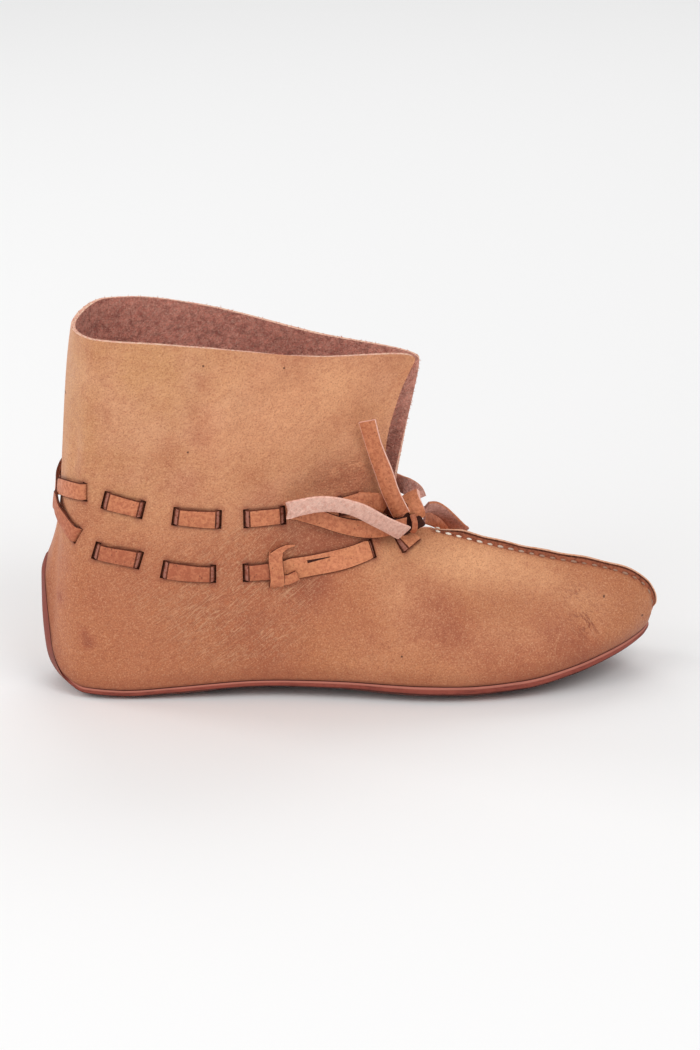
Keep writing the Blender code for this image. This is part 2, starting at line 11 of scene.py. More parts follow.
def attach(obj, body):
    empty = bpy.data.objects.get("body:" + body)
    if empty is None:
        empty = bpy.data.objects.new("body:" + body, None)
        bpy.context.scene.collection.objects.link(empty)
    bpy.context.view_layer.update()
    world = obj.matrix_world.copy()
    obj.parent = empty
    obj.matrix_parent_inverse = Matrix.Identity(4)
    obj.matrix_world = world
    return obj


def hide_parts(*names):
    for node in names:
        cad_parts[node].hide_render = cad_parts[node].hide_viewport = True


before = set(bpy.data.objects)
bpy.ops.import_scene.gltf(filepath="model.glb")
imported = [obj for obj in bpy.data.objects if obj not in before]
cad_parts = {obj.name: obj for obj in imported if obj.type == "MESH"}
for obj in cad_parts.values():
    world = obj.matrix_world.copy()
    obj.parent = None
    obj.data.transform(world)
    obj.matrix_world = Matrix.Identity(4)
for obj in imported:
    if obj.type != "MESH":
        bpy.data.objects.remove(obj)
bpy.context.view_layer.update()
print("frame loaded:", len(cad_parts), "nodes")

# the last's sizes in metres; x runs from the back of the heel, z from the floor
shoe = {
    "length": 0.285,
    "ballWidth": 0.088,
    "collarHeight": 0.172,
    "wall": 0.002,
    "soleThickness": 0.0040,
    "toeSwing": 0.006,
    "swingFrom": 0.42,
    "sideShift": 0.0013,
    "seamEnd": 0.315,  # place along the ribs where the vamp seam stops
}
sides = {"outer": -1.0, "inner": 1.0}
millimetre = 0.001
small = 1e-4

# where upper and sole meet, from the toe tip to the tip of the heel tongue, in shares of the sizes above
FootRow = namedtuple("FootRow", "at x outer inner z midX midZ flat thick climb")
footLine = [FootRow(*row) for row in (
    (0.000, 0.988, 0.000, 0.000, 0.128, 0.988, 0.112, 0.5, 0.60, 0.0),
    (0.020, 0.980, 0.085, 0.085, 0.124, 0.980, 0.106, 0.5, 0.70, 0.0),
    (0.045, 0.958, 0.185, 0.190, 0.115, 0.958, 0.088, 0.5, 0.80, 0.0),
    (0.080, 0.919, 0.297, 0.300, 0.101, 0.919, 0.062, 0.5, 0.90, 0.0),
    (0.125, 0.860, 0.398, 0.405, 0.079, 0.860, 0.034, 0.5, 0.95, 0.0),
    (0.185, 0.779, 0.472, 0.477, 0.057, 0.779, 0.009, 0.5, 1.00, 0.0),
    (0.255, 0.684, 0.497, 0.503, 0.049, 0.684, 0.000, 0.6, 1.00, 0.0),
    (0.315, 0.614, 0.482, 0.470, 0.050, 0.614, 0.000, 0.6, 1.00, 0.0),
    (0.355, 0.579, 0.462, 0.440, 0.051, 0.579, 0.000, 0.6, 0.95, 0.0),
    (0.530, 0.470, 0.395, 0.350, 0.055, 0.470, 0.012, 0.5, 0.80, 0.0),
    (0.640, 0.351, 0.352, 0.318, 0.053, 0.351, 0.016, 0.5, 0.70, 0.0),
    (0.760, 0.211, 0.350, 0.335, 0.037, 0.211, 0.000, 0.6, 0.70, 0.0),
    (0.820, 0.140, 0.343, 0.335, 0.029, 0.140, 0.000, 0.6, 0.72, 0.0),
    (0.870, 0.071, 0.306, 0.301, 0.033, 0.072, 0.002, 0.4, 0.75, 0.1),
    (0.905, 0.037, 0.245, 0.245, 0.057, 0.028, 0.027, 0.1, 0.78, 0.6),
    (0.935, 0.019, 0.193, 0.193, 0.116, 0.0055, 0.087, 0.0, 0.80, 1.0),
    (0.960, 0.013, 0.155, 0.155, 0.220, 0.000, 0.212, 0.0, 0.75, 1.0),
    (0.980, 0.009, 0.103, 0.103, 0.312, 0.001, 0.312, 0.0, 0.65, 1.0),
    (1.000, 0.013, 0.000, 0.000, 0.366, 0.010, 0.361, 0.0, 0.50, 1.0),
)]

# the upper's other edge: vamp seam, throat, front edges, collar; side and crown columns place each rib's handles
TopRow = namedtuple("TopRow", "at outerX innerX half z sideOut sideRise sideLean crownOut crownDrop crownLean")
topLine = [TopRow(*row) for row in (
    (0.000, 0.9880, 0.9880, 0.000, 0.158, 0.000, 0.011, 0.003, 0.000, 0.010, 0.000),
    (0.020, 0.9916, 0.9916, 0.000, 0.186, 0.022, 0.028, 0.006, 0.038, 0.024, 0.002),
    (0.045, 0.9850, 0.9850, 0.000, 0.221, 0.040, 0.052, 0.012, 0.080, 0.032, 0.000),
    (0.080, 0.9600, 0.9600, 0.000, 0.258, 0.057, 0.082, 0.018, 0.136, 0.044, -0.010),
    (0.125, 0.9100, 0.9100, 0.000, 0.288, 0.068, 0.105, 0.018, 0.193, 0.056, -0.014),
    (0.185, 0.8300, 0.8300, 0.000, 0.318, 0.074, 0.128, 0.018, 0.227, 0.068, -0.014),
    (0.255, 0.7320, 0.7320, 0.000, 0.361, 0.074, 0.157, 0.014, 0.239, 0.080, -0.014),
    (0.315, 0.6390, 0.6390, 0.000, 0.405, 0.074, 0.186, 0.010, 0.239, 0.085, -0.010),
    (0.355, 0.5820, 0.5820, 0.045, 0.424, 0.074, 0.198, 0.007, 0.178, 0.066, -0.012),
    (0.390, 0.5570, 0.5780, 0.095, 0.500, 0.066, 0.209, 0.004, 0.100, 0.066, -0.034),
    (0.440, 0.5630, 0.5930, 0.088, 0.655, 0.060, 0.221, 0.000, 0.062, 0.128, -0.056),
    (0.490, 0.5880, 0.6110, 0.052, 0.803, 0.057, 0.233, 0.006, 0.074, 0.165, -0.095),
    (0.530, 0.6120, 0.6190, 0.014, 0.886, 0.054, 0.244, 0.012, 0.095, 0.190, -0.125),
    (0.640, 0.4490, 0.4490, 0.240, 0.932, 0.057, 0.244, 0.018, 0.080, 0.302, -0.042),
    (0.760, 0.2590, 0.2590, 0.425, 0.990, 0.057, 0.233, 0.004, 0.000, 0.320, -0.021),
    (0.820, 0.1710, 0.1710, 0.455, 1.007, 0.057, 0.221, -0.007, -0.045, 0.320, -0.018),
    (0.870, 0.1060, 0.1060, 0.403, 1.011, 0.057, 0.209, -0.017, -0.045, 0.320, -0.017),
    (1.000, 0.0640, 0.0640, 0.000, 1.000, 0.000, 0.157, 0.043, 0.000, 0.244, -0.027),
)]


def unit(vectors):
    return vectors / np.linalg.norm(vectors, axis=-1, keepdims=True)


def smoothStep(t):
    t = np.clip(t, 0, 1)
    return t * t * (3 - 2 * t)


def monotone(keys, values, at, steepEnds):  # smooth curve through the keys that never overshoots them
    steps = np.diff(keys)
    rises = np.diff(values) / steps
    slopes = np.zeros(len(keys))
    sameWay = rises[:-1] * rises[1:] > 0
    before = 2 * steps[1:] + steps[:-1]
    after = steps[1:] + 2 * steps[:-1]
    safe = np.where(sameWay[:, None], np.stack([rises[:-1], rises[1:]], axis=1), 1.0)
    mean = (before + after) / (before / safe[:, 0] + after / safe[:, 1])
    slopes[1:-1] = np.where(sameWay, mean, 0.0)
    if steepEnds:
        slopes[0], slopes[-1] = rises[0], rises[-1]
    at = np.asarray(at, float)
    i = np.clip(np.searchsorted(keys, at, side="right") - 1, 0, len(keys) - 2)
    h = steps[i]
    t = (at - keys[i]) / h
    start = values[i] * (1 + 2 * t) * (1 - t) ** 2 + slopes[i] * h * t * (1 - t) ** 2
    return start + values[i + 1] * t * t * (3 - 2 * t) + slopes[i + 1] * h * t * t * (t - 1)


def follow(rows, column, at):
    keys = np.array([row.at for row in rows])
    values = np.array([getattr(row, column) for row in rows])
    return monotone(keys, values, at, column in ("outer", "inner", "half"))


def place(x, y, z):  # the last's own x, y, z to the part's frame
    forward = np.clip((np.asarray(x) / shoe["length"] - shoe["swingFrom"]) / (1 - shoe["swingFrom"]), 0, None)
    return np.stack([x - shoe["length"] / 2, y + shoe["toeSwing"] * forward**2 - shoe["sideShift"], z], axis=-1)


def wall(side, at, t):  # outer face of the upper: at runs toe to heel, t from the sole edge to the top edge
    sign, long, wide, high = sides[side], shoe["length"], shoe["ballWidth"], shoe["collarHeight"]
    foot = [long * follow(footLine, "x", at), wide * follow(footLine, side, at), high * follow(footLine, "z", at)]
    top = [long * follow(topLine, side + "X", at), wide * follow(topLine, "half", at), high * follow(topLine, "z", at)]
    low = [
        foot[0] + long * follow(topLine, "sideLean", at),
        foot[1] + wide * follow(topLine, "sideOut", at),
        foot[2] + high * follow(topLine, "sideRise", at),
    ]
    crown = [
        top[0] + long * follow(topLine, "crownLean", at),
        top[1] + wide * follow(topLine, "crownOut", at),
        top[2] - high * follow(topLine, "crownDrop", at),
    ]
    handles = [place(x, sign * y, z) for x, y, z in (foot, low, crown, top)]
    t = np.asarray(t, float)[..., None]
    s = 1 - t
    return handles[0] * s**3 + 3 * handles[1] * s * s * t + 3 * handles[2] * s * t * t + handles[3] * t**3


def wallNormal(side, at, t):
    at, t = np.asarray(at, float), np.asarray(t, float)
    back = wall(side, np.minimum(at + small, 1), t) - wall(side, np.maximum(at - small, 0), t)
    up = wall(side, at, np.minimum(t + small, 1)) - wall(side, at, np.maximum(t - small, 0))
    return unit(sides[side] * np.cross(back, up))


def heightShare(side, at, z):  # how far up its rib the wall reaches height z
    low = np.zeros_like(np.asarray(at, float))
    high = np.ones_like(low)
    for _ in range(40):
        middle = (low + high) / 2
        under = wall(side, at, middle)[..., 2] < z
        low, high = np.where(under, middle, low), np.where(under, high, middle)
    return (low + high) / 2


def ribAt(side, x, z):  # the rib that passes through x, z, both in metres
    at = np.linspace(shoe["seamEnd"] + small, 1, 240)
    points = wall(side, at, heightShare(side, at, z))
    reached = np.abs(points[:, 2] - z) < small
    there = points[reached, 0] + shoe["length"] / 2
    return float(np.interp(x, there[::-1], at[reached][::-1]))


def handCut(run, waves):  # how the size of a strip cut by hand varies along it, about 1
    vary = 1
    for share, length, phase in waves:
        vary = vary + share * np.sin(run / length + phase)
    return vary


def ribPlaces(spans):  # places along or up the ribs, evenly spaced in each span
    places = [0.0]
    for end, steps in spans:
        places.extend(np.linspace(places[-1], end, steps + 1)[1:])
    return np.array(places)


# shader writing: Sock is one socket with arithmetic, Finish is one material
class Sock:
    def __init__(self, finish, socket):
        self.finish, self.socket = finish, socket

    def maths(self, operation, a, b):
        return self.finish.node("ShaderNodeMath", {"operation": operation}, {0: a, 1: b})

    def __add__(self, other): return self.maths("ADD", self, other)
    def __radd__(self, other): return self.maths("ADD", other, self)
    def __sub__(self, other): return self.maths("SUBTRACT", self, other)
    def __rsub__(self, other): return self.maths("SUBTRACT", other, self)
    def __mul__(self, other): return self.maths("MULTIPLY", self, other)
    def __rmul__(self, other): return self.maths("MULTIPLY", other, self)
    def __abs__(self): return self.maths("ABSOLUTE", self, 0.0)


class Finish:
    def __init__(self, name, **constants):
        self.material = bpy.data.materials.new(name)
        self.material.use_nodes = True
        self.tree = self.material.node_tree
        self.shader = self.tree.nodes["Principled BSDF"]
        for socket, value in constants.items():
            self.shader.inputs[socket.replace("_", " ")].default_value = value
        self.place = self.node("ShaderNodeTexCoord", {}, {}, "Object")

    def node(self, kind, settings, inputs, output=0):
        made = self.tree.nodes.new(kind)
        for name, value in settings.items():
            setattr(made, name, value)
        for name, value in inputs.items():
            self.feed(made.inputs[name], value)
        return Sock(self, made.outputs[output])

    def feed(self, socket, value):
        if isinstance(value, Sock):
            self.tree.links.new(value.socket, socket)
        else:
            socket.default_value = value

    def noise(self, scale, detail=4.0, rough=0.55, vector=None, distortion=0.0):
        inputs = {"Vector": vector or self.place, "Scale": scale, "Detail": detail, "Roughness": rough}
        inputs["Distortion"] = distortion
        return self.node("ShaderNodeTexNoise", {}, inputs)

    def cells(self, scale, feature="F1"):
        inputs = {"Vector": self.place, "Scale": scale}
        return self.node("ShaderNodeTexVoronoi", {"feature": feature}, inputs, "Distance")

    def turned(self, angles, stretch):  # object coordinates turned by degrees, then scaled
        settings = {"vector_type": "POINT"}
        turn = [radians(a) for a in angles]
        spun = self.node("ShaderNodeMapping", settings, {"Vector": self.place, "Rotation": turn})
        return self.node("ShaderNodeMapping", settings, {"Vector": spun, "Scale": stretch})

    def attribute(self, name):
        return self.node("ShaderNodeAttribute", {"attribute_name": name}, {}, "Fac")

    def fade(self, value, low, high, start=0.0, end=1.0):  # smooth step from start to end as value goes low to high
        settings = {"interpolation_type": "SMOOTHSTEP"}
        inputs = {0: value, "From Min": low, "From Max": high, "To Min": start, "To Max": end}
        return self.node("ShaderNodeMapRange", settings, inputs)

    def axis(self, letter):  # one object coordinate
        return self.node("ShaderNodeSeparateXYZ", {}, {0: self.place}, letter)

    def mix(self, factor, a, b):
        return self.node("ShaderNodeMix", {"data_type": "RGBA", "clamp_factor": True}, {0: factor, 6: a, 7: b}, 2)

    def lay(self, cover, tint):  # one more layer of colour over what is there
        self.colour = self.mix(cover, self.colour, tint)

    def bump(self, height, depth, strength=1.0, normal=None):
        inputs = {"Height": height, "Distance": depth, "Strength": strength}
        if normal:
            inputs["Normal"] = normal
        return self.node("ShaderNodeBump", {}, inputs)

    def paint(self, roughness, normal=None):
        for socket, value in (("Base Color", self.colour), ("Roughness", roughness), ("Normal", normal)):
            if value is not None:
                self.feed(self.shader.inputs[socket], value)
        return self.material


def tone(red, green, blue):  # a screen colour of 0 to 255 as a scene colour
    linear = [(c / 255 / 12.92) if c < 11 else ((c / 255 + 0.055) / 1.055) ** 2.4 for c in (red, green, blue)]
    return (*linear, 1.0)


leather = {
    "tan": tone(214, 148, 108),
    "ochre": tone(211, 152, 104),
    "pink": tone(226, 164, 130),
    "amber": tone(186, 111, 71),
    "red": tone(174, 96, 66),
    "dusk": tone(140, 70, 48),
    # these two dark colours serve real stains and pores, and also the painted shade in slits, the seam's groove, the
    # knot, the thong's edges and its shadow on the wall
    "stainAndShade": tone(112, 58, 40),
    "poreAndShade": tone(70, 38, 28),
    "scratch": tone(228, 174, 134),
    "crease": tone(150, 82, 56),
    "flesh": tone(224, 149, 131),
    "fleshDark": tone(160, 95, 84),
    "fleshPale": tone(236, 188, 168),
    "strapFlesh": tone(248, 198, 180),
    "strapFleshDark": tone(222, 164, 146),
    "strapFleshPale": tone(250, 216, 200),
    "cutEdge": tone(238, 198, 172),
    # a shaded copy of the strap's flesh colours for the far loop and the far end: painted shade
    "shadedFarFlesh": tone(214, 152, 136),
    "shadedFarFleshDark": tone(170, 110, 98),
    "shadedFarFleshPale": tone(236, 192, 176),
    "tuft": tone(206, 156, 138),
    "knotShade": tone(62, 30, 24),
    "turn": tone(172, 114, 98),
    "pricks": ((79, 161), (115, 157), (71, 121), (15, 142), (260, 40), (278, 29), (166, 23)),  # x and z in mm
    "strapTan": tone(226, 146, 104),
    "strapOchre": tone(218, 142, 98),
    # colour of the painted highlight on the upper
    "paintedHighlight": tone(252, 188, 138),
    "seamNear": tone(158, 90, 64),
    "seamFar": tone(226, 176, 148),
}


def hairLines(f, angle, across, along, width):  # thin wavy lines that run at an angle in the side view
    lines = f.noise(1.0, 3, 0.5, f.turned((0, angle, 0), (along, across * 0.5, across)), 0.9)
    return f.fade(abs(lines - 0.5), width, width * 0.2)


def grainFinish(name, look):
    f = Finish(name, Specular_IOR_Level=0.32, Sheen_Weight=0.06)
    drift, blotch = f.noise(9, 3, 0.5), f.noise(36, 6, 0.6)
    mottle, fine = f.noise(240, 5, 0.68), f.noise(1350, 4, 0.72)
    f.colour = f.mix(f.fade(drift, 0.38, 0.64), look["tan"], look["ochre"])
    f.lay(f.fade(f.noise(20, 3), 0.50, 0.70) * 0.45, look["pink"])
    f.lay(f.fade(blotch, 0.46, 0.74) * 0.45, look["red"])
    height = f.axis("Z")
    lower = f.fade(height + (drift - 0.5) * 0.03, 0.112, 0.052, 0.0, 0.78)
    f.lay(lower, look["amber"])
    # painted highlight: lighter where light falls on the vamp's top, the toe and the shaft's folds
    f.lay(f.attribute("paintedHighlight") * (0.55 + blotch * 0.5), look["paintedHighlight"])
    # the dusk patches are partly the leather's own darker clouds and partly painted shade under the bow, the knot and
    # the straps
    dusk = f.attribute("dusk") * (0.55 + blotch * 0.9) + (mottle - 0.5) * f.attribute("dusk") * 0.8
    f.lay(f.fade(dusk, 0.06, 0.95, 0.0, 0.70), look["red"])
    f.lay(f.fade(dusk, 0.55, 1.20, 0.0, 0.70), look["dusk"])
    f.lay(f.fade(mottle, 0.44, 0.72) * 0.26, look["red"])
    f.lay(f.fade(mottle, 0.42, 0.30) * 0.20, look["pink"])
    f.lay(f.fade(fine, 0.50, 0.66) * 0.48, look["dusk"])
    f.lay(f.fade(fine, 0.48, 0.34) * 0.46, look["scratch"])
    skin = hairLines(f, 24, 900, 300, 0.07)
    f.lay(skin * 0.16, look["dusk"])
    net = f.attribute("net") * f.fade(f.noise(30, 3), 0.26, 0.54)
    rising, falling = hairLines(f, 38, 640, 70, 0.034), hairLines(f, -58, 520, 60, 0.026)
    f.lay(rising * net * 0.56, look["scratch"])
    f.lay(falling * net * 0.28, look["scratch"])
    f.lay(hairLines(f, 34, 460, 44, 0.045) * net * 0.34, look["crease"])
    wrinkle = f.attribute("wrinkle") * f.fade(f.noise(34, 2), 0.30, 0.54)
    level = hairLines(f, 8, 1000, 90, 0.05)
    f.lay(level * wrinkle * 0.40, look["dusk"])
    bend = f.attribute("toeBend") * f.fade(f.noise(40, 2), 0.30, 0.52)
    bends = hairLines(f, -52, 430, 80, 0.036)
    f.lay(bends * bend * 0.85, look["dusk"])
    stray = hairLines(f, 76, 130, 14, 0.005) * f.fade(f.noise(13, 2), 0.56, 0.66)
    f.lay(stray * 0.25, look["scratch"])
    pores = f.fade(f.cells(70), 0.040, 0.022) * f.fade(f.noise(58, 1), 0.60, 0.66)
    f.lay(pores * 0.75, look["poreAndShade"])
    side = f.node("ShaderNodeVectorMath", {"operation": "MULTIPLY"}, {0: f.place, 1: (1, 0, 1)})
    for x, z in look["pricks"]:
        spot = (x * millimetre - shoe["length"] / 2, 0, z * millimetre)
        gap = f.node("ShaderNodeVectorMath", {"operation": "DISTANCE"}, {0: side, 1: spot}, "Value")
        f.lay(f.fade(gap, 0.00065, 0.00030) * 0.85, look["poreAndShade"])
    # painted shade: the wall darkens within about 13 mm of the sole
    f.lay(f.fade(f.attribute("nearSole") + blotch * 0.006, 0.013, 0.003) * 0.42, look["dusk"])
    joint = f.fade(f.attribute("nearSole") + fine * 0.0010, 0.0021, 0.0008)
    f.lay(joint * 0.6, look["stainAndShade"])
    # painted shade: the wall darkens within about 5 mm of each slit
    shadeAroundSlits = f.fade(f.attribute("nearSlit") + mottle * 0.002, 0.0046, 0.0014)
    f.lay(shadeAroundSlits * 0.55, look["dusk"])
    # painted contact shadow: a dark line on the wall along the edges of the thong's outside runs
    thongContactShadow = f.fade(f.attribute("nearThong") + fine * 0.0008, 0.0022, 0.0004)
    f.lay(thongContactShadow * 0.85, look["stainAndShade"])
    # painted shade: darker within about 4 mm of the vamp seam's ridge
    seamShade = f.fade(f.attribute("nearSeam") + mottle * 0.001, 0.0042, 0.0022)
    f.lay(seamShade * 0.55, look["dusk"])
    grain = f.cells(1250, "SMOOTH_F1") * 0.6 + f.noise(950, 3) * 0.55 + fine * 0.5
    lines = skin * -0.35 + (rising + falling) * net * -0.7 + level * wrinkle * -1.2 + bends * bend * -0.9 + stray * -0.3
    normal = f.bump(grain + lines + pores * -1.2, 0.00024, 0.60, f.bump(blotch + mottle * 0.45, 0.0014, 0.35))
    roughness = f.fade(blotch + fine * 0.3, 0.4, 0.9, 0.50, 0.66)
    return f.paint(roughness, normal)


def strapFinish(name, look, redder=0.0):
    f = Finish(name, Specular_IOR_Level=0.32)
    blotch, mottle, fine = f.noise(60, 4, 0.6), f.noise(620, 5, 0.65), f.noise(1100, 3, 0.6)
    f.colour = f.mix(f.fade(blotch, 0.35, 0.65), look["strapTan"], look["strapOchre"])
    f.lay(f.fade(mottle, 0.36, 0.68) * 0.6 + redder, look["red"])
    specks = f.fade(f.cells(460), 0.22, 0.10) * f.fade(f.noise(120, 2), 0.42, 0.56)
    f.lay(specks * (0.35 + redder * 0.7), look["stainAndShade"])
    f.lay(f.fade(fine, 0.50, 0.74) * 0.36, look["dusk"])
    normal = f.bump(fine + f.cells(1250, "SMOOTH_F1") * 0.5 + specks * -0.7, 0.00022, 0.55)
    return f.paint(f.fade(mottle, 0.35, 0.7, 0.48, 0.66), normal)


def fleshFinish(name, dark, middle, pale, nap=1200):
    f = Finish(name, Specular_IOR_Level=0.12, Sheen_Weight=0.08, Sheen_Roughness=0.6)
    drift, clump, fuzz = f.noise(16, 3), f.noise(nap * 0.3, 4, 0.6), f.noise(nap, 6, 0.7)
    f.colour = f.mix(f.fade(clump, 0.26, 0.68), dark, middle)
    f.lay(f.fade(fuzz, 0.50, 0.68) * 0.80, pale)
    f.lay(f.fade(fuzz, 0.48, 0.34) * 0.75, dark)
    f.lay(f.fade(drift, 0.42, 0.70) * 0.25, pale)
    strands = hairLines(f, 40, 900, 200, 0.045)
    f.lay(strands * 0.30, pale)
    normal = f.bump(fuzz + clump * 0.4 + strands * 0.4, 0.0007, 0.75)
    return f.paint(0.92, normal)


def edgeFinish(name, light, dark):
    f = Finish(name, Specular_IOR_Level=0.2)
    fibre = f.noise(700, 4, 0.6)
    f.colour = f.mix(f.fade(fibre, 0.42, 0.70), light, dark)
    return f.paint(0.85, f.bump(fibre, 0.0003, 0.6))


soleLook = {
    "edge": tone(150, 76, 63),
    "edgeDark": tone(104, 48, 42),
    "bead": tone(192, 122, 105),
    "crevice": tone(92, 44, 38),
    "under": tone(150, 86, 70),
    "underDark": tone(98, 52, 44),
    "rim": tone(52, 24, 22),
    "tongue": tone(134, 58, 45),
}


def soleFinish(name, look):
    f = Finish(name, Specular_IOR_Level=0.18)
    rise = f.attribute("edgeRise")
    blotch, speck = f.noise(45, 5, 0.6), f.noise(800, 4, 0.65)
    fibre = f.noise(1.0, 4, 0.6, f.turned((0, 0, 0), (150, 150, 1500)))
    edge = f.mix(f.fade(fibre * 0.6 + blotch * 0.6, 0.52, 0.86), look["edge"], look["edgeDark"])
    edge = f.mix(f.fade(speck, 0.52, 0.70) * 0.35, edge, look["edgeDark"])
    # painted shade: the sole's edge darkens towards its bottom
    edge = f.mix(f.fade(rise + speck * 0.10, 0.34, 0.10) * 0.9, edge, look["rim"])
    # painted highlight: a lighter band along the rounded top of the sole's edge
    edge = f.mix(f.fade(rise, 0.66, 0.80) * f.fade(rise, 1.0, 0.92) * 0.8, edge, look["bead"])
    edge = f.mix(f.fade(rise, 0.93, 0.99) * 0.8, edge, look["crevice"])
    under = f.mix(f.fade(blotch, 0.36, 0.68), look["underDark"], look["under"])
    scuff = hairLines(f, 4, 500, 26, 0.03) * f.fade(f.noise(22, 2), 0.45, 0.65)
    under = f.mix(scuff * 0.5, under, look["bead"])
    under = f.mix(f.fade(f.noise(14, 3), 0.52, 0.72) * 0.5, under, look["rim"])
    under = f.mix(f.fade(speck, 0.50, 0.72) * 0.35, under, look["underDark"])
    height = f.axis("Z")
    under = f.mix(f.fade(height, 0.008, 0.028) * 0.8, under, look["tongue"])
    f.colour = f.mix(f.fade(rise, 0.0, 0.04), under, edge)
    normal = f.bump(fibre * 0.5 + speck * 0.6 + scuff * -0.5, 0.0003, 0.6)
    return f.paint(f.fade(blotch, 0.3, 0.7, 0.50, 0.72), normal)


threadLook = {"light": tone(244, 234, 220), "dirty": tone(150, 104, 80), "cleanTo": 0.045, "dirtyFrom": 0.095}


def threadFinish(name, look):
    f = Finish(name, Specular_IOR_Level=0.2)
    twist = f.noise(900, 3)
    along = f.axis("X")
    dirt = f.fade(along + (f.noise(60, 2) - 0.5) * 0.03, look["cleanTo"], look["dirtyFrom"], 0.05, 0.9)
    f.colour = f.mix(dirt, look["light"], look["dirty"])
    return f.paint(0.8, f.bump(twist, 0.0002, 0.5))


upperGrain = grainFinish("upperGrain", leather)
upperFlesh = fleshFinish("upperFlesh", leather["fleshDark"], leather["flesh"], leather["fleshPale"])
upperEdge = edgeFinish("upperEdge", leather["cutEdge"], leather["flesh"])
fibreTuft = edgeFinish("fibreTuft", leather["tuft"], leather["flesh"])
seamNear = edgeFinish("seamNear", leather["seamNear"], leather["stainAndShade"])
# paler than the upper's tan: the seam's far layer with a painted highlight along its crest
seamFar = edgeFinish("seamFar", leather["seamFar"], leather["tan"])
# painted shade for the slit walls, the seam's groove, and the strap where it dips into a slit or lies in the knot's
# shadow
paintedShade = edgeFinish("paintedShade", leather["stainAndShade"], leather["poreAndShade"])
thongGrain = strapFinish("thongGrain", leather, 0.30)
thongPale = strapFinish("thongPale", leather, 0.06)
thongRed = strapFinish("thongRed", leather, 0.64)
thongFlesh = fleshFinish(
    "thongFlesh", leather["strapFleshDark"], leather["strapFlesh"], leather["strapFleshPale"], 1500
)
# dark cut edges on the thong's straps: painted shadow lines along the straps' edges
shadedThongEdge = edgeFinish("shadedThongEdge", leather["stainAndShade"], leather["poreAndShade"])
thongTurn = edgeFinish("thongTurn", leather["turn"], leather["dusk"])
# shaded copy of the strap's flesh finish: painted shade on the far strands
shadedFarFlesh = fleshFinish("shadedFarFlesh", leather["shadedFarFleshDark"], leather["shadedFarFlesh"], leather["shadedFarFleshPale"], 1500)
bowEdge = edgeFinish("bowEdge", leather["strapFlesh"], leather["strapFleshDark"])
knotShade = edgeFinish("knotShade", leather["knotShade"], leather["poreAndShade"])
soleLeather = soleFinish("soleLeather", soleLook)
linenThread = threadFinish("linenThread", threadLook)
print("finishes made:", len(bpy.data.materials))


sharpAngle = radians(50)


def addPiece(name, mesh, replaced=()):
    piece = bpy.data.objects.new(name, mesh)
    bpy.context.scene.collection.objects.link(piece)
    mesh.shade_smooth()
    mesh.set_sharp_from_angle(angle=sharpAngle)
    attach(piece, "root")
    if replaced:
        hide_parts(*replaced)
    return piece


def plainMesh(piece):  # the evaluated object as a mesh of its own, modifiers worked in
    depsgraph = bpy.context.evaluated_depsgraph_get()
    mesh = bpy.data.meshes.new_from_object(piece.evaluated_get(depsgraph), depsgraph=depsgraph)
    bpy.data.objects.remove(piece, do_unlink=True)
    return mesh


def scratchObject(name, mesh):
    piece = bpy.data.objects.new(name, mesh)
    bpy.context.scene.collection.objects.link(piece)
    return piece


def distanceTo(points, line):  # nearest distance from each point to a line's samples
    tree = KDTree(len(line))
    for index, spot in enumerate(line):
        tree.insert(spot, index)
    tree.balance()
    return np.array([tree.find(point)[2] for point in points])


def setAttribute(mesh, name, values):
    layer = mesh.attributes.new(name, "FLOAT", "POINT")
    layer.data.foreach_set("value", np.asarray(values, np.float32))


def meshPoints(mesh):
    points = np.zeros(len(mesh.vertices) * 3, np.float32)
    mesh.vertices.foreach_get("co", points)
    return points.reshape(-1, 3)


# the woven thong: slits from the throat to the heel, in shares of the shoe's length and collar height
thong = {
    "width": 0.0080,
    "thickness": 0.0013,
    "clear": 0.0001,
    "waves": ((0.035, 0.0093, 0), (0.025, 0.0041, 2)),  # share of the width, length, phase
    "slitLength": 0.0026,
    "slitWidth": 0.0090,
    "slitDepth": 0.009,
    "ramp": 0.0019,
    "step": 0.0016,
    "plainLevels": (-0.8, 0.98),  # -1 is inside the shoe, 1 outside: in its own finish below and above these
    "edgeLevels": (0.3, 0.9),  # between these the strap's turned edge shows
    "crossingLevel": 0.015,
    "crossingEnd": 0.027,
    "crossingDrop": 0.005,
    "crossingSpread": 0.025,
    "highStart": (0.520, 0.531),
    "high": (
        (0.488, 0.520), (0.397, 0.513), (0.338, 0.511), (0.295, 0.514), (0.226, 0.527), (0.173, 0.547),
        (0.116, 0.573), (0.084, 0.592),
    ),
    "lowStart": (0.606, 0.402),
    "low": (
        (0.583, 0.388), (0.538, 0.402), (0.335, 0.361), (0.284, 0.362), (0.206, 0.378), (0.166, 0.405),
        (0.098, 0.430), (0.068, 0.468),
    ),
}


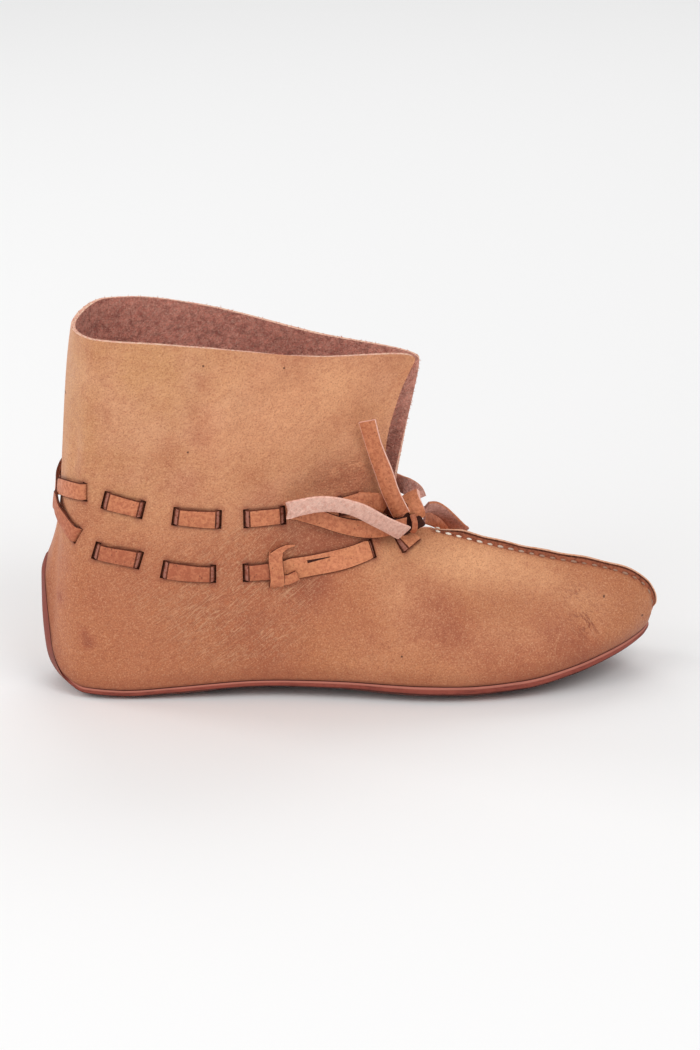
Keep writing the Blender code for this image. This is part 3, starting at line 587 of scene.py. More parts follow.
def thongRoute(start, slits, otherSlits, otherStart, over):
    def spotAt(side, x, z):
        return ribAt(side, x * shoe["length"], z * shoe["collarHeight"])

    near, far = (start, *slits), (otherStart, *otherSlits)
    keys = [spotAt("outer", *spot) for spot in near] + [2 - spotAt("inner", *spot) for spot in far][::-1]
    heights = [z for _, z in near] + [z for _, z in far][::-1]
    keys, heights = np.array(keys), shoe["collarHeight"] * np.array(heights)
    fine = np.unique(np.concatenate([np.linspace(keys[0], keys[-1], 960), keys]))
    z = monotone(keys, heights, fine, True)
    if over:
        z = z - thong["crossingDrop"] * np.exp(-(((fine - 1) / thong["crossingSpread"]) ** 2))
    points, normals = np.zeros((2, len(fine), 3))
    for side, chosen in (("outer", fine <= 1), ("inner", fine > 1)):
        at = np.minimum(fine, 2 - fine)[chosen]
        t = heightShare(side, at, z[chosen])
        points[chosen], normals[chosen] = wall(side, at, t), wallNormal(side, at, t)
    run = np.concatenate([[0], np.cumsum(np.linalg.norm(np.diff(points, axis=0), axis=1))])
    cuts = np.interp(keys[1:-1], fine, run)
    stops = sorted([0.0, run[-1], *np.concatenate([c + thong["ramp"] * np.linspace(-1, 1, 9) for c in cuts])])
    stations = [0.0]
    for stop in stops[1:]:
        steps = max(1, round((stop - stations[-1]) / thong["step"]))
        stations.extend(np.linspace(stations[-1], stop, steps + 1)[1:])
    stations = np.array(stations)

    def alongRun(values):
        return np.stack([np.interp(stations, run, values[:, k]) for k in range(3)], axis=-1)

    base, normal = alongRun(points), unit(alongRun(normals))
    outside = thong["clear"] + thong["thickness"] / 2
    inside = -(shoe["wall"] + thong["clear"] + thong["thickness"] / 2)
    state = np.ones(len(stations))
    for index, cut in enumerate(cuts):
        turn = np.sin(np.clip((stations - cut) / thong["ramp"], -1, 1) * pi / 2)
        state = np.where(stations > cut - thong["ramp"], -turn if index % 2 == 0 else turn, state)
    offset = (outside + inside) / 2 + state * (outside - inside) / 2
    if over:
        away = np.abs(stations - np.interp(1.0, fine, run))
        ramp = (thong["crossingEnd"] - away) / (thong["crossingEnd"] - thong["crossingLevel"])
        offset = offset + smoothStep(ramp) * (thong["thickness"] + 2 * thong["clear"])
    frames = [(alongAt(points, run, cut), unit(alongAt(normals, run, cut)), slope(points, run, cut)) for cut in cuts]
    return {"base": base, "normal": normal, "path": base + normal * offset[:, None], "state": state, "cuts": frames}


def alongAt(values, run, where):
    return np.array([np.interp(where, run, values[:, k]) for k in range(3)])


def slope(points, run, where):
    return unit(alongAt(points, run, where + millimetre) - alongAt(points, run, where - millimetre))


highRoute = thongRoute(thong["highStart"], thong["high"], thong["low"], thong["lowStart"], False)
lowRoute = thongRoute(thong["lowStart"], thong["low"], thong["high"], thong["highStart"], True)
slitFrames = highRoute["cuts"] + lowRoute["cuts"]
print("thong routed through", len(slitFrames), "slits")

# folds of the upper: path as x and z in mm, half-width and depth in mm (minus is a trough)
# the zones under them are soft-edged patches of the wall: x, z and reach in mm, then strength
Fold = namedtuple("Fold", "name path width depth")
upperLook = {
    "spans": ((0.125, 48), (0.315, 54), (0.53, 52), (0.87, 80), (1.0, 44)),
    "rows": ((0.30, 14), (0.66, 42), (1.0, 20)),
    "seamSwell": (0.0015, 0.0075),  # the wall's rise towards the vamp seam and how far it reaches
    "seamTrough": (0.0030, 0.0010, 0.0004),  # distance from the ridge, half-width, depth
    "pucker": (0.00020, 0.005),  # height between the stitches and how far it reaches
    "stitchStep": 0.00485,
    "barSink": 0.0003,
    "barSwell": 0.0004,
    "barReach": 0.0055,
    "hold": (0.06, 0.03, 0.02),  # shares over which the relief fades in from the sole edge, the toe and the heel
    "weld": 0.00003,
    "foldPoints": 24,
    "foldTaper": (0.12, 0.88),  # part of a half wave that a fold's depth follows from end to end
    "folds": {
        "outer": (
            Fold("shaft trough", ((80, 160), (78, 142), (76, 126)), 6, -2.3),
            Fold("shaft ridge", ((90, 154), (86, 138), (85, 122)), 7, 1.9),
            Fold("shaft slant", ((97, 146), (108, 154), (121, 160)), 6, 1.6),
            Fold("shaft hollow", ((100, 137), (114, 145), (128, 150)), 6, -1.0),
            Fold("back trough", ((21, 130), (19, 116), (17, 102)), 4.5, -1.3),
            Fold("back ridge", ((30, 150), (29, 128), (30, 108)), 8, 1.1),
            Fold("front dent", ((134, 134), (138, 118), (132, 102)), 9, -0.9),
            Fold("ankle crease", ((124, 101), (136, 99), (147, 102)), 2.5, -0.6),
            Fold("ankle crease low", ((128, 74), (139, 71), (150, 74)), 4, -0.7),
            Fold("quarter crease", ((74, 60), (92, 45), (108, 36)), 4, -0.5),
            Fold("quarter crease back", ((62, 52), (78, 40), (92, 30)), 4, -0.4),
            Fold("quarter swell", ((64, 40), (88, 28), (112, 24)), 8, 0.5),
            Fold("instep crease", ((152, 56), (166, 47), (176, 36)), 5, -0.6),
            Fold("toe crease", ((252, 38), (256, 31), (258, 25)), 2.6, -0.95),
            Fold("toe crease back", ((245, 36), (250, 29), (253, 23)), 3.0, -0.80),
            Fold("ball crease", ((214, 46), (220, 34), (220, 22)), 6, -0.45),
            Fold("heel dent", ((24, 62), (30, 50), (34, 36)), 6, -0.5),
        ),
        "inner": (
            Fold("shaft trough", ((92, 152), (94, 130), (90, 108)), 7, -1.0),
            Fold("shaft ridge", ((50, 146), (52, 126), (48, 106)), 9, 0.8),
            Fold("slant", ((100, 140), (112, 148), (124, 154)), 6, 0.7),
            Fold("ankle crease", ((118, 80), (134, 76), (150, 80)), 3.5, -0.6),
            Fold("quarter crease", ((72, 56), (94, 43), (116, 34)), 4.5, -0.5),
            Fold("arch swell", ((90, 30), (116, 24), (140, 22)), 9, 0.5),
            Fold("toe crease", ((248, 37), (254, 29), (256, 23)), 2.8, -0.5),
            Fold("ball crease", ((208, 46), (215, 34), (216, 22)), 6, -0.45),
        ),
    },
    # dusk patches: partly the leather's own darker clouds, partly painted shade under the bow, the knot and the straps
    "dusk": {
        "outer": (
            (181, 47, 13, 0.55), (188, 32, 16, 0.62), (174, 38, 12, 0.50), (235, 32, 15, 0.62), (252, 20, 12, 0.60),
            (222, 14, 18, 0.60), (168, 58, 14, 0.35), (23, 28, 4, 1.00), (21, 33, 3.5, 0.80), (10, 48, 5, 0.90),
            (26, 49, 9, 0.50), (40, 34, 12, 0.35), (121, 51, 16, 0.75), (98, 39, 16, 0.60), (107, 18, 18, 0.60),
            (62, 22, 16, 0.35), (136, 74, 12, 0.95), (120, 77, 11, 0.90), (150, 73, 8, 0.90), (147, 99, 13, 0.75),
            (132, 102, 11, 0.45), (104, 78, 13, 0.50), (76, 72, 14, 0.40), (80, 128, 9, 0.30), (20, 118, 8, 0.25),
            (150, 30, 16, 0.45), (268, 36, 8, 0.35), (204, 22, 14, 0.45), (44, 78, 9, 0.30), (32, 136, 16, 0.36),
            (40, 110, 16, 0.46), (70, 104, 13, 0.46), (76, 140, 6, 0.46), (77, 128, 6, 0.46), (79, 152, 5, 0.40),
            (44, 62, 20, 0.50), (78, 54, 18, 0.46), (104, 94, 10, 0.44), (122, 163, 9, 0.44), (146, 163, 9, 0.44),
            (12, 66, 9, 0.44), (24, 90, 12, 0.44), (140, 128, 6, 0.36), (244, 19, 12, 0.55), (112, 84, 9, 0.70),
            (142, 72, 8, 0.80), (128, 72, 8, 0.80), (128, 56, 9, 0.60), (104, 62, 8, 0.50), (118, 82, 5, 0.85),
            (127, 78, 5, 0.85), (137, 75, 5, 0.90), (147, 73, 5, 0.90), (156, 73, 4, 0.80), (94, 62, 12, 0.40),
        ),
        "inner": (
            (176, 46, 14, 0.60), (196, 30, 14, 0.70), (240, 28, 14, 0.65), (218, 15, 17, 0.55), (30, 34, 7, 0.70),
            (52, 24, 14, 0.45), (116, 48, 17, 0.70), (92, 32, 16, 0.55), (140, 78, 14, 0.75), (146, 100, 12, 0.60),
            (100, 76, 13, 0.45), (64, 74, 12, 0.35), (94, 126, 10, 0.30), (140, 26, 17, 0.45), (14, 52, 6, 0.60),
        ),
    },
    # painted highlight patches, mostly on the vamp's top along the seam, the toe and the shaft
    "paintedHighlight": {
        "outer": (
            (176, 60, 12, 0.50), (190, 58, 13, 0.75), (204, 56, 13, 0.75), (218, 53, 12, 0.60), (232, 49, 11, 0.50),
            (250, 40, 11, 0.36), (150, 22, 16, 0.25), (228, 28, 12, 0.30), (142, 148, 12, 0.50), (192, 16, 12, 0.25),
            (112, 140, 18, 0.30), (134, 140, 13, 0.42), (89, 140, 6, 0.45), (91, 154, 6, 0.45), (88, 126, 6, 0.35),
            (172, 34, 14, 0.35), (158, 64, 10, 0.60), (166, 50, 10, 0.45), (208, 30, 10, 0.20),
        ),
        "inner": (
            (190, 58, 14, 0.60), (210, 54, 14, 0.60), (232, 48, 11, 0.40), (116, 140, 18, 0.30),
        ),
    },
    "toeBend": {
        "outer": (
            (251, 33, 9, 1.0), (246, 43, 8, 0.6),
        ),
        "inner": (
            (251, 33, 9, 0.9),
        ),
    },
    "net": {
        "outer": (
            (88, 56, 24, 1.0), (104, 76, 18, 0.9), (70, 44, 18, 0.8), (112, 50, 18, 0.8), (90, 146, 7, 0.6),
            (46, 92, 10, 0.4), (56, 62, 16, 0.7), (80, 28, 16, 0.8), (104, 30, 14, 0.7),
        ),
        "inner": (
            (92, 54, 24, 1.0), (108, 74, 18, 0.9), (72, 42, 18, 0.7),
        ),
    },
    "wrinkle": {
        "outer": (
            (146, 100, 13, 1.0), (132, 100, 11, 0.8), (120, 98, 8, 0.4),
        ),
        "inner": (
            (146, 98, 13, 1.0), (130, 98, 11, 0.7),
        ),
    },
}
gridAt, gridT = np.linspace(0.02, 1, 260)[:, None], np.linspace(0, 1, 120)[None, :]
wallGrid = {side: [form(side, gridAt, gridT).reshape(-1, 3) for form in (wall, wallNormal)] for side in sides}


def onWall(side, x, z, out=0.0):  # the wall's point nearest to x and z, lifted outwards, all in mm
    grid, normals = wallGrid[side]
    gap = np.hypot(grid[:, 0] + shoe["length"] / 2 - x * millimetre, grid[:, 2] - z * millimetre)
    return grid[gap.argmin()] + normals[gap.argmin()] * out * millimetre


def foldLine(side, fold):  # a fold's path laid on the wall, as closely spaced points
    route = np.array(fold.path, float)
    share, keys = np.linspace(0, len(route) - 1, upperLook["foldPoints"]), np.arange(len(route))
    x, z = np.interp(share, keys, route[:, 0]), np.interp(share, keys, route[:, 1])
    return np.array([onWall(side, *spot) for spot in zip(x, z)])


def patchShare(points, patches):  # how strongly the patches cover each point, 0 to 1
    clear = np.ones(len(points))
    for side, rows in patches.items():
        for x, z, reach, strength in rows:
            gap = np.linalg.norm(points - onWall(side, x, z), axis=-1) / (reach * millimetre)
            clear *= 1 - strength * np.exp(-(gap**2))
    return 1 - clear


def ridgeLine(count=160):
    at = np.linspace(0, shoe["seamEnd"], count)
    return wall("outer", at, np.ones(count))


def upperRelief(side, points):  # how far each point of the wall is lifted
    lift = np.zeros(len(points))
    for fold in upperLook["folds"][side]:
        line = foldLine(side, fold)
        taper = np.sin(np.linspace(*upperLook["foldTaper"], len(line)) * pi)
        close = np.linalg.norm(points - line.mean(axis=0), axis=-1) < 0.05 + fold.width * 3 * millimetre
        gap = np.linalg.norm(points[close, None, :] - line[None, :, :], axis=-1) / (fold.width * millimetre)
        lift[close] += fold.depth * millimetre * (np.exp(-gap**2) * taper).max(axis=1)
    ridge = ridgeLine()
    gap = distanceTo(points, ridge)
    where, width, depth = upperLook["seamTrough"]
    swell, reach = upperLook["seamSwell"]
    lift += swell * np.exp(-((gap / reach) ** 2)) - depth * np.exp(-(((gap - where) / width) ** 2))
    height, reach = upperLook["pucker"]
    lift -= height * np.cos(2 * pi * points[:, 0] / upperLook["stitchStep"]) * np.exp(-((gap / reach) ** 2))
    for route in (highRoute, lowRoute):
        gap = np.linalg.norm(points[:, None, :] - route["base"][None, ::4, :], axis=-1)
        near = gap.argmin(axis=1)
        state = route["state"][::4][near]
        press = np.where(state > 0, -upperLook["barSink"], upperLook["barSwell"]) * np.abs(state)
        lift += press * np.exp(-((gap.min(axis=1) / upperLook["barReach"]) ** 2))
    return lift


def thongEdges():  # where the edges of the outside runs of the thong lie on the wall
    edges = []
    for route in (highRoute, lowRoute):
        across = unit(np.cross(route["normal"], np.gradient(route["base"], axis=0)))
        shown = route["state"] > 0.3
        edges.extend(route["base"][shown] + across[shown] * s * thong["width"] / 2 for s in (-1, 1))
    return np.concatenate(edges)


def upperMesh():
    places = ribPlaces(upperLook["spans"])
    rows = ribPlaces(upperLook["rows"])
    shape = bmesh.new()
    for side in sides:
        points = wall(side, places[:, None], rows[None, :])
        at, t = np.meshgrid(places, np.clip(rows, 0.002, 0.998), indexing="ij")
        normals = wallNormal(side, at, t)
        lift = upperRelief(side, points.reshape(-1, 3)).reshape(len(places), len(rows))
        soleHold, toeHold, heelHold = upperLook["hold"]
        hold = smoothStep(rows / soleHold)[None, :] * smoothStep(places / toeHold)[:, None]
        ridge = np.where(places <= shoe["seamEnd"] + small, 0.0, 1.0)[:, None]
        hold = hold * np.where(rows[None, :] > 0.999, ridge, 1.0) * smoothStep((1 - places) / heelHold)[:, None]
        points = points + normals * (lift * hold)[..., None]
        grid = [[shape.verts.new(p) for p in line] for line in points]
        for first, second in zip(grid, grid[1:]):
            for k in range(len(rows) - 1):
                corners = [first[k], second[k], second[k + 1], first[k + 1]]
                shape.faces.new(corners if side == "inner" else corners[::-1])
    border = [vert for vert in shape.verts if vert.is_boundary]
    bmesh.ops.remove_doubles(shape, verts=border, dist=upperLook["weld"])
    mesh = bpy.data.meshes.new("upperSkin")
    shape.to_mesh(mesh)
    shape.free()
    mesh.shade_smooth()
    for material in (upperGrain, upperFlesh, upperEdge):
        mesh.materials.append(material)
    skin = scratchObject("upperSkin", mesh)
    shell = skin.modifiers.new("wall", "SOLIDIFY")
    shell.thickness, shell.offset = shoe["wall"], -1
    shell.material_offset, shell.material_offset_rim = 1, 2
    shell.use_quality_normals = True
    knife = scratchObject("slitKnife", slitMesh())
    slits = skin.modifiers.new("slits", "BOOLEAN")
    slits.operation, slits.solver, slits.object = "DIFFERENCE", "MANIFOLD", knife
    slits.material_mode = "TRANSFER"
    mesh = plainMesh(skin)
    bpy.data.objects.remove(knife, do_unlink=True)
    points = meshPoints(mesh)
    soleLine = np.concatenate([wall(side, np.linspace(0, 1, 300), np.zeros(300)) for side in sides])
    slitLine = []
    for point, normal, forward in slitFrames:
        across = unit(np.cross(normal, forward))
        slitLine.extend(point + across * s * thong["slitWidth"] / 2 for s in np.linspace(-1, 1, 7))
    setAttribute(mesh, "nearSole", distanceTo(points, soleLine))
    setAttribute(mesh, "nearSlit", distanceTo(points, np.array(slitLine)))
    setAttribute(mesh, "nearSeam", distanceTo(points, ridgeLine()))
    setAttribute(mesh, "nearThong", distanceTo(points, thongEdges()))
    for zone in ("dusk", "paintedHighlight", "net", "wrinkle", "toeBend"):
        setAttribute(mesh, zone, patchShare(points, upperLook[zone]))
    return mesh


def addLoft(shape, rings, materials=None):  # materials: for each gap between rings, the finish of each side
    loops = [[shape.verts.new(point) for point in ring] for ring in rings]
    count = len(loops[0])
    for gap, (first, second) in enumerate(zip(loops, loops[1:])):
        for k in range(count):
            face = shape.faces.new((first[k], first[(k + 1) % count], second[(k + 1) % count], second[k]))
            face.material_index = materials[gap][k] if materials else 0
    for gap, cap in ((0, loops[0][::-1]), (-1, loops[-1])):
        face = shape.faces.new(cap)
        face.material_index = max(materials[gap]) if materials else 0


def finishedMesh(shape, name, materials):
    bmesh.ops.recalc_face_normals(shape, faces=shape.faces)
    mesh = bpy.data.meshes.new(name)
    shape.to_mesh(mesh)
    shape.free()
    for material in materials:
        mesh.materials.append(material)
    return mesh


def slitMesh():
    shape = bmesh.new()
    for point, normal, forward in slitFrames:
        across = unit(np.cross(normal, forward))
        along = unit(np.cross(across, normal))
        centre = point - normal * shoe["wall"] / 2
        corners = ((-1, -1), (1, -1), (1, 1), (-1, 1))
        rings = []
        for depth in (-0.5, 0.5):
            end = centre + normal * depth * thong["slitDepth"]
            ring = [along * i * thong["slitLength"] / 2 + across * j * thong["slitWidth"] / 2 for i, j in corners]
            rings.append([end + reach for reach in ring])
        addLoft(shape, rings)
    # the slit walls take the painted shade finish
    return finishedMesh(shape, "slitKnife", [paintedShade])


upper = addPiece("upper_shell", upperMesh(), ["upper"])
print("upper shell:", len(upper.data.polygons), "faces")

seam = {
    "stations": 150,
    "start": 0.006,  # a place along the ribs
    "past": 0.004,  # how far it runs on behind the last stitch
    "pull": 0.4,
    "nose": (0.55, 0.006),  # share of the height at the toe, and the length over which it rises
    "tail": (0.1, 0.016),  # share of the height at the throat, and the length over which it sinks
    "waves": ((0.07, 0.0031, 0), (0.05, 0.0077, 1.0)),  # share of the height, length, phase
    "stitchFoot": 0.0025,  # how far the stitches stand from the ridge
    "stitchLift": 0.0005,
    "stitchEnds": (0.020, 0.004),  # how far from the seam's two ends they stop
    # across and up in mm and the finish of the face that follows, from the near foot over both layers to the far foot
    "profile": (
        (-2.30, -1.40, 0), (-2.25, 0.10, 0), (-2.10, 0.95, 0), (-1.70, 1.60, 0), (-1.10, 1.85, 0), (-0.55, 1.70, 2),
        (-0.30, 1.25, 2), (-0.12, 1.10, 2), (0.02, 1.45, 2), (0.15, 2.35, 1), (0.55, 2.80, 1), (1.15, 2.75, 1),
        (1.75, 2.30, 1), (2.10, 1.30, 1), (2.25, 0.10, 1), (2.30, -1.40, 0),
    ),
}


def seamMesh():
    at = np.linspace(seam["start"], shoe["seamEnd"] + seam["past"], seam["stations"])
    crest = wall("outer", np.minimum(at, shoe["seamEnd"]), np.ones(len(at)))
    crest[:, 0] += (shoe["seamEnd"] - np.maximum(at, shoe["seamEnd"])) * seam["pull"]
    along = unit(np.gradient(crest, axis=0))
    across = np.array([0.0, 1.0, 0.0])
    run = np.concatenate([[0], np.cumsum(np.linalg.norm(np.diff(crest, axis=0), axis=1))])
    (noseHeight, noseLength), (tailHeight, tailLength) = seam["nose"], seam["tail"]
    rings = []
    for point, forward, s in zip(crest, along, run):
        up = unit(np.cross(across, forward))
        up = up if up[0] + up[2] > 0 else -up
        wave = handCut(s, seam["waves"])
        nose = min(1.0, noseHeight + s / noseLength)
        ends = nose * (tailHeight + (1 - tailHeight) * smoothStep((run[-1] - s) / tailLength))
        heights = [h * wave * ends if h > 0 else h for _, h, _ in seam["profile"]]
        rings.append([point + (across * row[0] + up * h) * millimetre for row, h in zip(seam["profile"], heights)])
    shape = bmesh.new()
    addLoft(shape, rings, [[row[2] for row in seam["profile"]]] * len(rings))
    # the seam's groove between the layers takes the painted shade finish
    return finishedMesh(shape, "vamp_seam", [seamNear, seamFar, paintedShade])


addPiece("vamp_seam", seamMesh())
print("vamp seam raised")


def sizedTree(name, sizes):  # an empty node group with a named input for each size
    tree = bpy.data.node_groups.new(name, "GeometryNodeTree")
    tree.interface.new_socket("Geometry", in_out="INPUT", socket_type="NodeSocketGeometry")
    for label in sizes:
        tree.interface.new_socket(label, in_out="INPUT", socket_type="NodeSocketFloat")
    tree.interface.new_socket("Geometry", in_out="OUTPUT", socket_type="NodeSocketGeometry")
    return tree, tree.nodes.new("NodeGroupInput"), tree.nodes.new("NodeGroupOutput")


def setSockets(node, values):
    for socket, value in values.items():
        node.inputs[socket].default_value = value


def wire(tree, rows):  # node, output, node, input
    for source, output, target, socket in rows:
        tree.links.new(source.outputs[output], target.inputs[socket])


def setInputs(modifier, tree, sizes):
    modifier.node_group = tree
    for item in tree.interface.items_tree:
        if item.in_out == "INPUT" and item.name in sizes:
            modifier[item.identifier] = sizes[item.name]


stitches = {"Spacing": 0.00485, "Stitch Length": 0.0027, "Stitch Width": 0.0010, "Stitch Height": 0.0011}


def stitchTree(name, sizes, material):
    tree, start, end = sizedTree(name, sizes)
    make = tree.nodes.new
    curve, resample = make("GeometryNodeMeshToCurve"), make("GeometryNodeResampleCurve")
    tangent, align = make("GeometryNodeInputTangent"), make("FunctionNodeAlignRotationToVector")
    grow, spread = make("FunctionNodeRandomValue"), make("GeometryNodeInstanceOnPoints")
    bead, size = make("GeometryNodeMeshUVSphere"), make("ShaderNodeCombineXYZ")
    shapeIt, realize = make("GeometryNodeTransform"), make("GeometryNodeRealizeInstances")
    smooth, setMaterial = make("GeometryNodeSetShadeSmooth"), make("GeometryNodeSetMaterial")
    resample.mode, align.axis, grow.data_type = "LENGTH", "X", "FLOAT"
    setSockets(bead, {"Segments": 8, "Rings": 6, "Radius": 0.5})
    setSockets(grow, {2: 0.85, 3: 1.15, "Seed": 7})  # smallest and largest stitch
    setSockets(setMaterial, {"Material": material})
    wire(tree, (
        (start, "Geometry", curve, 0),
        (curve, 0, resample, "Curve"),
        (start, "Spacing", resample, "Length"),
        (start, "Stitch Length", size, "X"),
        (start, "Stitch Width", size, "Y"),
        (start, "Stitch Height", size, "Z"),
        (bead, "Mesh", shapeIt, "Geometry"),
        (size, 0, shapeIt, "Scale"),
        (resample, 0, spread, "Points"),
        (shapeIt, 0, spread, "Instance"),
        (tangent, 0, align, "Vector"),
        (align, 0, spread, "Rotation"),
        (grow, 1, spread, "Scale"),
        (spread, 0, realize, 0),
        (realize, 0, smooth, 0),
        (smooth, 0, setMaterial, "Geometry"),
        (setMaterial, 0, end, 0),
    ))
    return tree


def stitchRow(name, points):
    path = bpy.data.meshes.new(name + "Path")
    path.from_pydata([tuple(p) for p in points], [(i, i + 1) for i in range(len(points) - 1)], [])
    row = scratchObject(name, path)
    tree = bpy.data.node_groups.get("stitchTree") or stitchTree("stitchTree", stitches, linenThread)
    setInputs(row.modifiers.new("sew", "NODES"), tree, stitches)
    return addPiece(name, plainMesh(row))


for side, sign in sides.items():
    first, last = seam["stitchEnds"]
    at = np.linspace(first, shoe["seamEnd"] - last, 120)
    crest = wall(side, at, np.ones(len(at)))
    along = unit(np.gradient(crest, axis=0))
    up = unit(np.cross(along, np.array([0.0, 1.0, 0.0])))
    up = up * np.sign(up[:, 0] + up[:, 2])[:, None]
    line = crest + np.array([0.0, sign * seam["stitchFoot"], 0.0]) + up * seam["stitchLift"]
    stitchRow("vamp_stitches_" + side, line)
print("vamp stitched")

sole = {
    "spans": ((0.125, 40), (0.315, 40), (0.53, 30), (0.87, 50), (1.0, 50)),
    "tip": 0.2,
    "gap": 0.0003,
    "shares": np.concatenate([np.linspace(0, 0.9, 13), [0.95, 0.98, 1.0]]),
    "bulge": 0.0005,
    "bulgeForm": 0.6,  # below 1 the edge is fuller
    "lipRise": 0.03,
    "edgeRows": 6,
}


def soleMesh():
    places = ribPlaces(sole["spans"])
    last = len(places) - 1
    stations = np.concatenate([[sole["tip"]], np.arange(1, last), [last - sole["tip"]]])

    def atStations(values):
        return np.stack([np.interp(stations, np.arange(last + 1), column) for column in values.T], axis=-1)

    mid = place(
        shoe["length"] * follow(footLine, "midX", places),
        np.zeros(len(places)),
        shoe["collarHeight"] * follow(footLine, "midZ", places),
    )
    along = unit(np.gradient(mid, axis=0))
    inward = np.stack([along[:, 2], np.zeros(len(places)), -along[:, 0]], axis=-1)
    thick = (shoe["soleThickness"] * follow(footLine, "thick", places))[:, None]
    flat, climb = (follow(footLine, column, places)[:, None] for column in ("flat", "climb"))
    under, over, out = {"middle": mid}, {"middle": mid + inward * thick}, {}
    for side in sides:
        foot = wall(side, places, np.zeros(len(places)))
        normal = wallNormal(side, places, np.zeros(len(places)))
        away = -sides[side] * unit(np.cross(normal, np.gradient(foot, axis=0)))
        edge = foot + sole["gap"] * away
        under[side] = atStations(edge - (1 - climb) * thick * np.array([0.0, 0.0, 1.0]))
        over[side] = atStations(edge - climb * thick * normal)
        out[side] = atStations(unit(normal * (1 - climb) + away * climb))
    flat = atStations(flat)
    under["middle"], over["middle"] = atStations(under["middle"]), atStations(over["middle"])
    shares = sole["shares"]

    def strip(layer, sharesOut, sharesIn):
        points = []
        for side, chosen in (("outer", sharesOut), ("inner", sharesIn)):
            reach = layer[side] - layer["middle"]
            for share in chosen:
                bend = np.maximum(0, (share - flat) / (1 - flat)) ** 2
                points.append(layer["middle"] + reach * np.hstack([bend, np.full_like(bend, share), bend]))
        return points

    def edgeRows(side, order):
        rows = []
        for k in order:
            share = k / (sole["edgeRows"] + 1)
            swell = sole["bulge"] * np.sin(share * pi) ** sole["bulgeForm"]
            rows.append(under[side] + (over[side] - under[side]) * share + out[side] * swell)
        return rows

    upwards = range(1, sole["edgeRows"] + 1)
    points = strip(under, shares[:0:-1], shares)
    rise = [0.0] * len(points)
    rise[0] = rise[-1] = sole["lipRise"]
    points += edgeRows("inner", upwards)
    rise += [k / (sole["edgeRows"] + 1) for k in upwards]
    top = strip(over, shares[:0:-1], shares)[::-1]
    points += top
    rise += [1.0] * len(top)
    points += edgeRows("outer", list(upwards)[::-1])
    rise += [k / (sole["edgeRows"] + 1) for k in upwards][::-1]
    rings = np.stack(points, axis=1)
    shape = bmesh.new()
    addLoft(shape, rings)
    mesh = finishedMesh(shape, "sole_leather", [soleLeather])
    setAttribute(mesh, "edgeRise", np.tile(rise, len(rings)))
    return mesh


addPiece("sole_leather", soleMesh(), ["sole"])
print("sole shaped")

# one strap's section: across and through as shares of half its width and thickness, and the finish of the face
# that follows: 0 grain, 1 flesh, 2 cut edge
strapSection = (
    (-1.00, -0.50, 2), (-0.93, -1.00, 1), (0.93, -1.00, 2), (1.00, -0.50, 2), (1.00, 0.45, 2), (0.93, 0.90, 0),
    (0.45, 1.06, 0), (0.00, 1.10, 0), (-0.45, 1.06, 0), (-0.93, 0.90, 2), (-1.00, 0.45, 2),
)
barFinishes = [thongGrain, thongFlesh, shadedThongEdge, thongGrain, thongTurn, paintedShade]
lowBarFinishes = [thongRed, thongFlesh, shadedThongEdge, thongPale, thongTurn, paintedShade]
joinFinishes = [thongGrain, thongFlesh, shadedThongEdge, thongRed, knotShade]
bowFinishes = [thongGrain, thongFlesh, bowEdge, thongRed, knotShade, shadedFarFlesh, thongPale]
# which finishes the grain, the flesh and the edge of a strap take
grainUp, turnedOver, shaded, dark = (0, 1, 2), (1, 0, 2), (3, 3, 4), (4, 4, 4)
# the far strands show their flesh side in the shaded copy of the flesh finish: painted shade
shadedFleshOver, shadedFleshUnder, paleGrain = (5, 0, 0), (0, 5, 0), (3, 1, 2)
turnedEdge, slitShade, allGrain, paleWrap = (4, 4, 5), (5, 5, 5), (0, 0, 0), (6, 1, 2)
nearLoop = [(1, 0, 4)] * 96 + [(1, 3, 2)] * 101  # rings of the strand behind, then of the strand in front


def strapRings(path, across, rise, width, thickness):
    run = np.concatenate([[0], np.cumsum(np.linalg.norm(np.diff(path, axis=0), axis=1))])
    vary = width * handCut(run, thong["waves"])
    rings = []
    for p, a, r, w in zip(path, across, rise, vary):
        rings.append([p + a * i * w / 2 + r * j * thickness / 2 for i, j, _ in strapSection])
    return rings


def strapMesh(name, runs, finishes):  # runs are pairs of rings and one order, or an order for each ring
    shape = bmesh.new()
    for rings, orders in runs:
        orders = orders if isinstance(orders, list) else [orders] * len(rings)
        addLoft(shape, rings, [[order[corner[2]] for corner in strapSection] for order in orders])
    return finishedMesh(shape, name, finishes)


def strapCurve(rows, steps=14):  # centre line, width direction and face direction through rows of x, y, z and width
    values = np.array(rows, float)
    return smoothCurve(place(*(values[:, :3] * millimetre).T), values[:, 3:], steps)


def smoothCurve(route, across, steps):
    fine = np.linspace(0, len(route) - 1, steps * (len(route) - 1) + 1)
    i = np.clip(fine.astype(int), 0, len(route) - 2)
    t = (fine - i)[:, None]

    def curve(values):
        slopes = np.gradient(values, axis=0)
        start = values[i] * (1 + 2 * t) * (1 - t) ** 2 + slopes[i] * t * (1 - t) ** 2
        return start + values[i + 1] * t * t * (3 - 2 * t) + slopes[i + 1] * t * t * (t - 1)

    path, across = curve(route), curve(across)
    forward = unit(np.gradient(path, axis=0))
    rise = unit(np.cross(forward, across))
    return path, unit(np.cross(rise, forward)), rise


# where the woven thong leaves the wall for the knot, and the join on the low thong
thongEnds = {
    "highLead": (
        (168, -11.5, 82.5, 0.0, 0.2, -1.0),
        (164, -13.0, 84.5, 0.0, 0.2, -1.0),
        (160, -13.5, 87.0, 0.0, 0.1, -1.0),
        (156, -16.3, 89.3, 0.0, 0.0, -1.0),
        (152, -20.2, 90.8, 0.1, 0.1, -1.0),
    ),
    "leadShade": 26,  # rings of the lead that lie in the knot's shade
    "calmTo": 0.026,  # no painted slit shade and no dark turned edges in the slits nearer to the back of the heel than this
    "wide": (111.0, 153.0, 0.26),  # from x to x in mm, the low thong's outer run is this much wider
    "wideRamps": (6, 3),  # lengths over which it widens at either end
}
